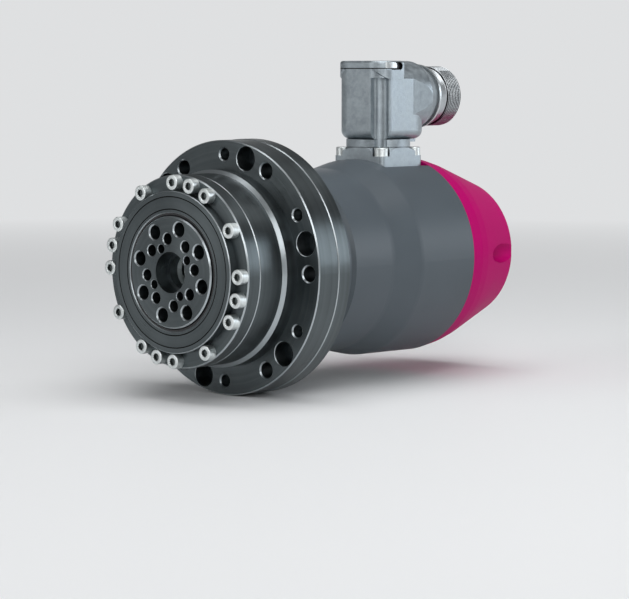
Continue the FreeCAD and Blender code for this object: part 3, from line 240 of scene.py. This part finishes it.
# %% [markdown]
# ## Turned steel
# The flanges and rings of the gear head are turned on a lathe and left dark. The tool leaves fine
# rings round the axis: they spread each highlight across the rings, so a turned face shows bright rays
# and a turned rim shows a band. That is made with the shader's anisotropy and a tangent that runs
# round the axis. Rings of noise over the distance from the axis give the groove marks, and the bevels
# are painted lighter than the face beside them, a painted highlight, which the slope of the surface
# picks out. Where two pieces of the front disc meet, a thin dark line of painted shade marks the gap,
# which goes by the distance from the axis.

# %% Patterns for a finish
def mix_colour(tree, factor, first, second, blend="MIX"):
    """A colour mix of two inputs, each an RGBA tuple or another node's output."""
    node = tree.nodes.new("ShaderNodeMix")
    node.data_type = "RGBA"
    node.blend_type = blend
    for socket, source in ((0, factor), (6, first), (7, second)):
        if isinstance(source, (int, float, tuple)):
            node.inputs[socket].default_value = source
        else:
            tree.links.new(source, node.inputs[socket])
    return node.outputs[2]


def noise(tree, place, scale, detail, **settings):
    """A noise pattern on object coordinates; scale is in waves per metre."""
    values = {"Scale": scale, "Detail": detail, **settings}
    return add_node(tree, "ShaderNodeTexNoise", {"Vector": place}, values).outputs[0]


def rings_of_noise(tree, travel, scale, detail):
    """Noise along one distance, so that it makes rings round an axis; scale as for noise."""
    return add_node(tree, "ShaderNodeTexNoise", {"W": travel}, {"Scale": scale, "Detail": detail},
                    noise_dimensions="1D").outputs[0]


def raise_surface(tree, shader, height, strength, distance):
    """Bump the surface by a height pattern; distance is the height of a full step in metres."""
    bump = add_node(tree, "ShaderNodeBump", {"Height": height},
                    {"Strength": strength, "Distance": distance})
    tree.links.new(bump.outputs[0], shader.inputs["Normal"])


def between(tree, value, low, high):
    """1 where a value lies between two limits in metres, else 0."""
    return add_node(tree, "ShaderNodeMath", {0: value}, {1: (low + high) / 2, 2: (high - low) / 2},
                    operation="COMPARE").outputs[0]


# %% Turned steel finish
def axis_distance(tree):
    """Distance of a point from the actuator's axis, and its place along that axis, in metres."""
    place = object_place(tree)
    flat = add_node(tree, "ShaderNodeVectorMath", {0: place}, {1: (1.0, 0.0, 1.0)},
                    operation="MULTIPLY")
    length = add_node(tree, "ShaderNodeVectorMath", {0: flat.outputs[0]}, operation="LENGTH")
    along = add_node(tree, "ShaderNodeSeparateXYZ", {0: place}).outputs["Y"]
    return length.outputs["Value"], along, place


def bevel_mask(tree):
    """1 on the sloping bevels of a turned piece and 0 on its flat faces and round sides."""
    normal = add_node(tree, "ShaderNodeNewGeometry").outputs["True Normal"]
    towards_axis = math_node(tree, "POWER", math_node(
        tree, "ABSOLUTE", add_node(tree, "ShaderNodeSeparateXYZ", {0: normal}).outputs["Y"]), 2.0)
    slope = math_node(tree, "ABSOLUTE", math_node(tree, "SUBTRACT", math_node(
        tree, "MULTIPLY", towards_axis, 2.0), 1.0))
    return spread(tree, slope, 0.85, 0.35)


# Painted shade for the seams where the pieces of the front disc meet.
seam_painted_shade = (0.01, 0.01, 0.01, 1.0)
seam_half_width = 0.2 * MM
disc_front_y = -27.0 * MM               # the seams lie in front of this


def turned_steel(name, colour, bevel_highlight, roughness, groove=0.12, anisotropy=0.6, seams=()):
    """Turned metal with a painted highlight on its bevels; seams are the radii at which two pieces of
    the front disc meet, darkened with painted shade.
    """
    material, tree, shader = new_finish(name)
    distance, along, place = axis_distance(tree)
    travel = math_node(tree, "ADD", distance, along)
    fine = rings_of_noise(tree, travel, 5200.0, 3.0)
    broad = rings_of_noise(tree, travel, 420.0, 4.0)
    cloud = noise(tree, place, 55.0, 5.0)
    tint = spread(tree, math_node(tree, "ADD", broad, cloud), 0.7, 1.3, 0.84, 1.16)
    shade = mix_colour(tree, 1.0, colour, tint, "MULTIPLY")
    # The bevels take the lighter bevel colour, a painted highlight.
    colour_with_painted_light = mix_colour(tree, bevel_mask(tree), shade, bevel_highlight)
    # A thin near-black ring at each seam on the front of the disc: painted shade in the gap.
    for seam in seams:
        on_disc = math_node(tree, "LESS_THAN", along, disc_front_y)
        gap = between(tree, distance, seam - seam_half_width, seam + seam_half_width)
        colour_with_painted_light = mix_colour(tree, math_node(tree, "MULTIPLY", gap, on_disc), colour_with_painted_light, seam_painted_shade)
    tree.links.new(colour_with_painted_light, shader.inputs["Base Color"])
    rough = math_node(tree, "ADD", spread(tree, cloud, 0.3, 0.7, roughness - 0.05, roughness + 0.06),
                      spread(tree, fine, 0.3, 0.7, -0.03, 0.03))
    tree.links.new(rough, shader.inputs["Roughness"])
    raise_surface(tree, shader, math_node(tree, "ADD", fine, broad), groove, 0.06 * MM)
    tangent = add_node(tree, "ShaderNodeTangent", direction_type="RADIAL", axis="Y")
    tree.links.new(tangent.outputs[0], shader.inputs["Tangent"])
    shader.inputs["Metallic"].default_value = 1.0
    shader.inputs["Anisotropic"].default_value = anisotropy
    shader.inputs["Anisotropic Rotation"].default_value = 0.25
    return material


# %% Make the turned finishes
# The second colour of each finish is its bevel colour, a painted highlight.
dark_steel = turned_steel(
    "dark_turned_steel", (0.105, 0.121, 0.127, 1.0), (0.42, 0.46, 0.48, 1.0), 0.33,
    seams=(22.9 * MM, 27.4 * MM))
bright_steel = turned_steel(
    "bright_turned_steel", (0.70, 0.74, 0.74, 1.0), (0.74, 0.78, 0.78, 1.0), 0.42,
    groove=0.05, anisotropy=0.0)
# A darker grey for the sockets of the screws: painted shade.
socket_shade_grey = (0.16, 0.18, 0.18, 1.0)
socket_steel = turned_steel(
    "shaded_socket_steel", socket_shade_grey, socket_shade_grey, 0.5, groove=0.05, anisotropy=0.0)
turned_aluminium = turned_steel(
    "turned_aluminium", (0.70, 0.71, 0.72, 1.0), (0.8, 0.8, 0.81, 1.0), 0.33)
lamination = turned_steel(
    "stacked_sheet", (0.30, 0.31, 0.32, 1.0), (0.34, 0.35, 0.36, 1.0), 0.5, groove=0.5)
magnet = turned_steel(
    "nickelled_magnet", (0.45, 0.45, 0.44, 1.0), (0.5, 0.5, 0.5, 1.0), 0.28, groove=0.04)
turned_finishes = (dark_steel, bright_steel, socket_steel, turned_aluminium, lamination, magnet)
print("turned finishes:", [finish.name for finish in turned_finishes])

# %% [markdown]
# ## Paint
# The housing is grey and the end cap magenta, both in a matt to satin paint over aluminium. Sprayed
# paint isn't flat: it has a fine orange-peel skin and its gloss varies a little from place to place.
# Noise drives both, at a size of about half a millimetre, and a wide soft noise shifts the colour by
# a few percent. A deep colour looks washed out under a strong mirror, so the specular level is low,
# and lower for the cap than for the housing.

# %% Paint finishes
def sprayed_paint(name, colour, roughness, specular, peel=0.10):
    """Paint with an orange-peel skin; peel is the strength of that skin."""
    material, tree, shader = new_finish(name)
    shader.inputs["Specular IOR Level"].default_value = specular
    place = object_place(tree)
    skin = noise(tree, place, 1500.0, 3.0)
    cloud = noise(tree, place, 38.0, 4.0)
    tint = spread(tree, cloud, 0.3, 0.7, 0.94, 1.06)
    tree.links.new(mix_colour(tree, 1.0, colour, tint, "MULTIPLY"), shader.inputs["Base Color"])
    rough = math_node(tree, "ADD", spread(tree, cloud, 0.3, 0.7, roughness - 0.04, roughness + 0.04),
                      spread(tree, skin, 0.3, 0.7, -0.02, 0.02))
    tree.links.new(rough, shader.inputs["Roughness"])
    raise_surface(tree, shader, skin, peel, 0.08 * MM)
    return material


housing_paint = sprayed_paint("grey_housing_paint", (0.074, 0.090, 0.104, 1.0), 0.38, 0.25)
cap_paint = sprayed_paint("magenta_cap_paint", (0.42, 0.0, 0.12, 1.0), 0.52, 0.05)
print("paints:", housing_paint.name, cap_paint.name)

# %% [markdown]
# ## Cast and plated metal
# The connector's base and elbow are die cast zinc, blasted and nickel plated: a silver skin with a
# mottled grain that the plating follows. The thread and its ring are turned and plated, so they are
# smooth and bright. The grain is two noises of different size, one for the mottle of the colour and
# one for the bump. The narrow places are painted near-black as painted shade: the line under the lid,
# the end of the latch's slot and the root of the thread. Each is marked by where it is, in a box or at
# a distance from the axis of the nose, because a mark like that costs no faces and stays on the piece
# when it turns.

# %% Cast and plated finishes
# Near-black painted shade for the narrow places of the connector.
painted_shade_colour = (0.02, 0.02, 0.022, 1.0)
nose_z = 62.4 * MM


def painted_shade_box(tree, place, shade, low, high):
    """Darken what lies in a box with painted shade; the box is given for X > 0 and holds for both sides.
    """
    parts = add_node(tree, "ShaderNodeSeparateXYZ", {0: place}).outputs
    inside = between(tree, math_node(tree, "ABSOLUTE", parts["X"]), low[0], high[0])
    for axis, start, end in zip("YZ", low[1:], high[1:]):
        inside = math_node(tree, "MULTIPLY", inside, between(tree, parts[axis], start, end))
    return mix_colour(tree, inside, shade, painted_shade_colour)


def painted_root_shade(tree, place, shade, inner_r, outer_r):
    """Darken with painted shade what lies between two distances from the axis of the nose."""
    vector = place
    for operation, value in (("SUBTRACT", (0.0, 0.0, nose_z)), ("MULTIPLY", (1.0, 0.0, 1.0))):
        vector = add_node(tree, "ShaderNodeVectorMath", {0: vector}, {1: value},
                          operation=operation).outputs[0]
    radius = add_node(tree, "ShaderNodeVectorMath", {0: vector}, operation="LENGTH").outputs["Value"]
    return mix_colour(tree, between(tree, radius, inner_r, outer_r), shade, painted_shade_colour)


def cast_metal(name, colour, dark_colour, roughness, grain, painted_shade_boxes=(), thread_root=None):
    """Cast or plated metal with a mottled grain, and painted shade in boxes and at the root of a thread.
    """
    material, tree, shader = new_finish(name)
    place = object_place(tree)
    mottle = noise(tree, place, 300.0, 7.0, Roughness=0.7)
    pits = noise(tree, place, 2200.0, 2.0)
    shade = mix_colour(tree, spread(tree, mottle, 0.36, 0.64), dark_colour, colour)
    # Painted shade in each box and at the root of the thread.
    for low, high in painted_shade_boxes:
        shade = painted_shade_box(tree, place, shade, low, high)
    if thread_root:
        shade = painted_root_shade(tree, place, shade, *thread_root)
    tree.links.new(shade, shader.inputs["Base Color"])
    rough = math_node(tree, "ADD", spread(tree, mottle, 0.35, 0.65, roughness - 0.06, roughness + 0.08),
                      spread(tree, pits, 0.3, 0.7, -0.03, 0.03))
    tree.links.new(rough, shader.inputs["Roughness"])
    raise_surface(tree, shader, math_node(tree, "ADD", mottle, pits), grain, 0.12 * MM)
    shader.inputs["Metallic"].default_value = 0.9
    return material


# %% Make the cast and plated finishes
lid_height = 2.8 * MM
lid_low, lid_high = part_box("elbow_lid")
lid_seat = lid_high[2] - lid_height
# Boxes that get painted shade: the line under the lid and the end of the latch's slot.
lid_seam = ((0.0, lid_low[1] - MM, lid_seat - 0.35 * MM),
            (lid_high[0] + MM, lid_high[1] - 1.5 * MM, lid_seat + 0.05 * MM))
latch_slot_end = ((lid_high[0] - 1.1 * MM, lid_low[1] + 7.0 * MM, lid_high[2] - 3.6 * MM),
                  (lid_high[0] - 0.3 * MM, lid_high[1] - 0.3 * MM, lid_high[2] - 0.4 * MM))
cast_zinc = cast_metal(
    "cast_zinc", (0.40, 0.45, 0.48, 1.0), (0.29, 0.33, 0.36, 1.0), 0.42, 0.3,
    painted_shade_boxes=(lid_seam, latch_slot_end))
nickel = cast_metal(
    "nickel_plate", (0.60, 0.63, 0.64, 1.0), (0.56, 0.59, 0.60, 1.0), 0.36, 0.02)
# The root of the thread gets painted shade.
threaded_nickel = cast_metal(
    "threaded_nickel_plate", (0.48, 0.51, 0.53, 1.0), (0.44, 0.47, 0.49, 1.0), 0.36, 0.02,
    thread_root=(11.15 * MM, 11.62 * MM))
print("cast and plated:", [finish.name for finish in (cast_zinc, nickel, threaded_nickel)])

# %% [markdown]
# ## Rubber, plastic, copper and circuit board
# Seals are matt black rubber, the body that holds the contacts is a smooth black plastic, the coils
# are enamelled wire and the encoder has a green board. They show only through gaps and bores, but each
# is a real material, so each gets its own grain: a fine noise for rubber and plastic, and stripes a
# wire thick for the coils.

# %% Small finishes
def grained(name, colour, roughness, scale, bump_strength, metallic=0.0):
    """A plain material with one fine grain in its colour, its gloss and its surface."""
    material, tree, shader = new_finish(name)
    grain = noise(tree, object_place(tree), scale, 4.0)
    tint = spread(tree, grain, 0.3, 0.7, 0.85, 1.15)
    tree.links.new(mix_colour(tree, 1.0, colour, tint, "MULTIPLY"), shader.inputs["Base Color"])
    rough = spread(tree, grain, 0.3, 0.7, roughness - 0.06, roughness + 0.06)
    tree.links.new(rough, shader.inputs["Roughness"])
    raise_surface(tree, shader, grain, bump_strength, 0.1 * MM)
    shader.inputs["Metallic"].default_value = metallic
    return material


def wound_wire(name, colour, wire_size):
    """Enamelled wire that lies turn beside turn, as stripes about one wire wide."""
    material, tree, shader = new_finish(name)
    stripes = add_node(tree, "ShaderNodeTexWave", {"Vector": object_place(tree)},
                       {"Scale": 1.0 / (20.0 * wire_size), "Distortion": 0.6, "Detail": 1.0},
                       wave_type="BANDS", bands_direction="DIAGONAL").outputs[0]
    dark = tuple(0.35 * v for v in colour[:3]) + (1.0,)
    tree.links.new(mix_colour(tree, stripes, dark, colour), shader.inputs["Base Color"])
    raise_surface(tree, shader, stripes, 0.8, 0.3 * MM)
    shader.inputs["Metallic"].default_value = 0.8
    shader.inputs["Roughness"].default_value = 0.34
    return material


rubber_black = grained("black_rubber", (0.02, 0.02, 0.022, 1.0), 0.62, 1800.0, 0.2)
plastic_black = grained("black_plastic", (0.025, 0.025, 0.028, 1.0), 0.45, 900.0, 0.1)
contact_gold = grained("gold_contact", (0.85, 0.62, 0.26, 1.0), 0.22, 1200.0, 0.03, metallic=1.0)
board_green = grained("green_board", (0.02, 0.16, 0.07, 1.0), 0.4, 700.0, 0.06)
copper = wound_wire("enamelled_copper", (0.72, 0.33, 0.16, 1.0), 0.8 * MM)
small_finishes = (rubber_black, plastic_black, contact_gold, board_green, copper)
print("small finishes:", [finish.name for finish in small_finishes])

# %% [markdown]
# ## Put the finishes on the CAD pieces
# Every CAD piece names a material slot in its record. One table from slot to finish dresses them all,
# so that a change of finish reaches every piece that uses it.

# %% Assign the finishes
finishes = {
    "dark_steel": dark_steel,
    "bright_steel": bright_steel,
    "housing_paint": housing_paint,
    "cap_paint": cap_paint,
    "cast_zinc": cast_zinc,
    "nickel": nickel,
    "aluminium": turned_aluminium,
    "rubber_black": rubber_black,
    "copper": copper,
    "lamination": lamination,
    "magnet": magnet,
    "plastic_black": plastic_black,
    "contact_gold": contact_gold,
    "board_green": board_green,
}
for name, piece in nodes.items():
    finish = finishes[slot_of[name]]
    if not piece.material_slots:
        piece.data.materials.append(finish)
    for material_slot in piece.material_slots:
        material_slot.material = finish
print("dressed", len(nodes), "CAD pieces in", len(finishes), "finishes")

# %% [markdown]
# ## Socket screws
# The screws of the actuator are cold-headed socket screws. The head is a short cylinder with a rounded
# rim, a fine knurl on its side for the fingers and a hexagonal socket whose mouth is countersunk and
# whose floor is a drill point; the socket takes a darker grey than the head, a painted shade. The maker
# spins one outline round the screw's axis, as a lathe would, then presses the rows of the socket into a
# hexagon and the rows of the side into a knurl. Screws of one kind are one piece, because they ride
# together.

# %% Spin an outline
def spun(outline, sides, closed=False):
    """Outline of (radius, y) points in millimetres, turned once about the Y axis."""
    tool = bmesh.new()
    corners = [tool.verts.new((radius * MM, y * MM, 0.0)) for radius, y in outline]
    follow = corners[1:] + corners[:1] if closed else corners[1:]
    edges = [tool.edges.new(pair) for pair in zip(corners, follow)]
    bmesh.ops.spin(tool, geom=corners + edges, cent=(0.0, 0.0, 0.0), axis=(0.0, 1.0, 0.0),
                   angle=math.tau, steps=sides, use_merge=True)
    bmesh.ops.remove_doubles(tool, verts=tool.verts[:], dist=0.002 * MM)
    return tool


def arc(centre_r, centre_y, radius, start, end, steps):
    """Points of a round corner in an outline; angles in degrees from the radius towards +Y."""
    angles = [math.radians(start + (end - start) * i / steps) for i in range(steps + 1)]
    return [(centre_r + radius * math.cos(a), centre_y + radius * math.sin(a)) for a in angles]


screw_sides = 48
knurl_depth = 0.05
hexagon_corner = 60.0                   # degrees from one corner of the socket to the next


def socket_screw(shank_r, length, head_r, head_height, socket):
    """Socket screw with its seat at Y = 0, its head towards -Y and its shank towards +Y."""
    rim = 0.12 * head_height
    floor_y = -0.55 * head_height
    mouth_r = socket / math.sqrt(3) + 0.1
    flat_r = 0.5 * socket
    outline = [(0.0, length), (0.75 * shank_r, length), (shank_r, length - 0.3 * shank_r)]
    outline += [(shank_r, 0.0), (head_r, 0.0), (head_r, -0.2)]
    outline += arc(head_r - rim, rim - head_height, rim, 0.0, -90.0, 4)
    outline += [(mouth_r, -head_height), (flat_r, 0.15 - head_height), (flat_r, floor_y)]
    outline += [(0.0, floor_y + 0.3 * socket)]
    tool = spun(outline, screw_sides)
    knurl_step = 360.0 / screw_sides
    for vert in tool.verts:
        radius = math.hypot(vert.co.x, vert.co.z)
        turn = math.degrees(math.atan2(vert.co.z, vert.co.x))
        grow = 1.0
        if abs(radius - flat_r * MM) < 1e-6:
            off_corner = (turn + hexagon_corner / 2) % hexagon_corner - hexagon_corner / 2
            grow = 1.0 / math.cos(math.radians(off_corner))
        elif abs(radius - head_r * MM) < 1e-6 and vert.co.y < -0.1 * MM and round(turn / knurl_step) % 2:
            grow = 1.0 - knurl_depth / head_r
        vert.co.x *= grow
        vert.co.z *= grow
    # The faces inside the socket take the second finish, a painted shade.
    for face in tool.faces:             # the socket takes the second finish
        middle = face.calc_center_median()
        if math.hypot(middle.x, middle.z) < 0.56 * socket * MM and middle.y < 0.0:
            face.material_index = 1
    return tool


def gathered(pattern, places):
    """Copies of a bmesh at each matrix, in one bmesh; the pattern is freed."""
    shape = bpy.data.meshes.new("pattern")
    pattern.to_mesh(shape)
    pattern.free()
    tool = bmesh.new()
    for place in places:
        before = len(tool.verts)
        tool.from_mesh(shape)
        tool.verts.ensure_lookup_table()
        bmesh.ops.transform(tool, matrix=place, verts=tool.verts[before:])
    bpy.data.meshes.remove(shape)
    return tool


def turned_place(circle_r, angle, y, backwards=False):
    """Matrix that puts a screw on a circle round the actuator; backwards turns its head to the motor."""
    place = Matrix.Rotation(math.radians(-angle), 4, "Y")
    place = place @ Matrix.Translation((circle_r * MM, y * MM, 0.0))
    return place @ Matrix.Rotation(math.pi, 4, "Z") if backwards else place


# %% Make the screws
M3 = {"shank_r": 1.25, "head_r": 2.75, "head_height": 3.3, "socket": 2.5}
M4 = {"shank_r": 1.65, "head_r": 3.5, "head_height": 4.0, "socket": 3.0}
M5_low = {"shank_r": 2.25, "head_r": 4.0, "head_height": 3.5, "socket": 3.0}
ring_circle_r, ring_seat_y = 32.5, -24.1
ring_steps = (0.0, -15.0, -30.0, -60.0)         # in each quarter three together and one apart
joining_circle_r, joining_seat_y, joining_start = 42.0, 13.0, 30.0
cap_circle_r, cap_seat_y = 31.0, 110.4
connector_y, base_top_z, base_screw_reach = 87.4, 39.4, 9.8
ring_places = [turned_place(ring_circle_r, step + 90.0 * quarter, ring_seat_y)
               for quarter in range(4) for step in ring_steps]
joining_places = [turned_place(joining_circle_r, joining_start + 60.0 * i, joining_seat_y, True)
                  for i in range(6)]
cap_places = [turned_place(cap_circle_r, 120.0 * i, cap_seat_y, True) for i in range(3)]
upright = Matrix.Rotation(math.radians(-90.0), 4, "X")
base_places = [Matrix.Translation((x * MM, (connector_y + y) * MM, base_top_z * MM)) @ upright
               for x in (-base_screw_reach, base_screw_reach)
               for y in (-base_screw_reach, base_screw_reach)]
for name, size, length, places in (("ring_screws", M3, 22.0, ring_places),
                                   ("flange_joining_screws", M5_low, 8.5, joining_places),
                                   ("cap_screws", M4, 20.0, cap_places),
                                   ("base_screws", M3, 8.1, base_places)):
    pattern = socket_screw(length=length, **size)
    screws = finished_mesh(name + "_detailed", gathered(pattern, places), bright_steel, 30.0)
    screws.data.materials.append(socket_steel)
    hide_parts(name)
    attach(screws, "housing")
    print(name, len(places), "screws,", len(screws.data.polygons), "faces")

# %% [markdown]
# ## Connector nose
# The cable's coupling ring screws onto the nose of the connector. The nose is a turned and plated
# sleeve with a plain neck and a fine thread of one millimetre pitch, which runs out in a chamfer at
# both ends. Its outline is spun with ten rows to each turn of the thread, and then each vertex of those
# rows is moved in by its place along the helix, which is how a threading tool cuts it.

# %% Cut the thread
nose_axis = Matrix.Translation((0.0, connector_y * MM, nose_z))
thread_start, thread_end, thread_pitch = 28.9, 37.9, 1.0
crest_r, root_r, neck_r, sleeve_r, nose_bore_r = 11.9, 11.3, 11.0, 10.2, 9.6
sleeve_start, neck_start = 16.5, 21.5
bore_bevel = 0.5
flank_slope, crest_flat, run_out_slope = 2.6, 0.15, 1.1
row_step = thread_pitch / 10
row_count = round((thread_end - thread_start) / row_step)
rows = [thread_start + row_step * i for i in range(1, row_count + 1)]
nose_outline = [(nose_bore_r, sleeve_start), (sleeve_r, sleeve_start), (sleeve_r, neck_start)]
nose_outline += [(neck_r, neck_start), (neck_r, thread_start)]
nose_outline += [(crest_r, y) for y in rows]
nose_outline += [(nose_bore_r + bore_bevel, thread_end), (nose_bore_r, thread_end - bore_bevel)]
nose = spun(nose_outline, 96, closed=True)
for vert in nose.verts:
    radius = math.hypot(vert.co.x, vert.co.z)
    if radius < (crest_r - 0.1) * MM:
        continue
    y = vert.co.y / MM
    phase = (y / thread_pitch - math.atan2(vert.co.z, vert.co.x) / math.tau) % 1.0
    cut = min(1.0, max(0.0, flank_slope * abs(phase - 0.5) - crest_flat))
    run_out = max(min(y - thread_start, thread_end - y), 0.02)
    wanted = min(crest_r - (crest_r - root_r) * cut, neck_r + run_out_slope * run_out)
    vert.co.x *= wanted * MM / radius
    vert.co.z *= wanted * MM / radius
bmesh.ops.transform(nose, matrix=nose_axis, verts=nose.verts[:])
threaded_nose = finished_mesh("threaded_nose_detailed", nose, threaded_nickel, 50.0)
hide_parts("threaded_nose")
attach(threaded_nose, "elbow")
print("nose faces:", len(threaded_nose.data.polygons))

# %% [markdown]
# ## Contact pins
# Four power pins and four thinner signal pins stand in the black body inside the nose. They are turned
# and plated, with a domed tip that guides them into the plug, so each is an outline with a quarter
# circle at its end.

# %% Make the pins
pin_start, pin_end = 20.6, 32.1
signal_pin_r, signal_circle_r, signal_start = 0.5, 2.6, 0.0
power_pin_r, power_circle_r, power_start = 1.0, 5.6, 45.0


def pin(radius):
    """Pin along Y, from inside the insulating body to its domed tip."""
    dome = arc(0.0, pin_end - radius, radius, 0.0, 90.0, 6)[:-1]
    return spun([(0.0, pin_start), (radius, pin_start)] + dome + [(0.0, pin_end)], 20)


def pin_places(circle_r, start):
    """Four places on a circle round the axis of the nose, the first at an angle in degrees."""
    places = []
    for i in range(4):
        turn = math.radians(start + 90.0 * i)
        across = (circle_r * math.cos(turn) * MM, 0.0, circle_r * math.sin(turn) * MM)
        places.append(nose_axis @ Matrix.Translation(across))
    return places


signal_shape = gathered(pin(signal_pin_r), pin_places(signal_circle_r, signal_start))
signal_pins = finished_mesh("signal_pins", signal_shape, contact_gold, 40.0)
power_shape = gathered(pin(power_pin_r), pin_places(power_circle_r, power_start))
power_pins = finished_mesh("power_pins", power_shape, contact_gold, 40.0)
for piece in (power_pins, signal_pins):
    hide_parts("contact_pins")
    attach(piece, "elbow")
print("pins:", len(power_pins.data.polygons) + len(signal_pins.data.polygons), "faces")
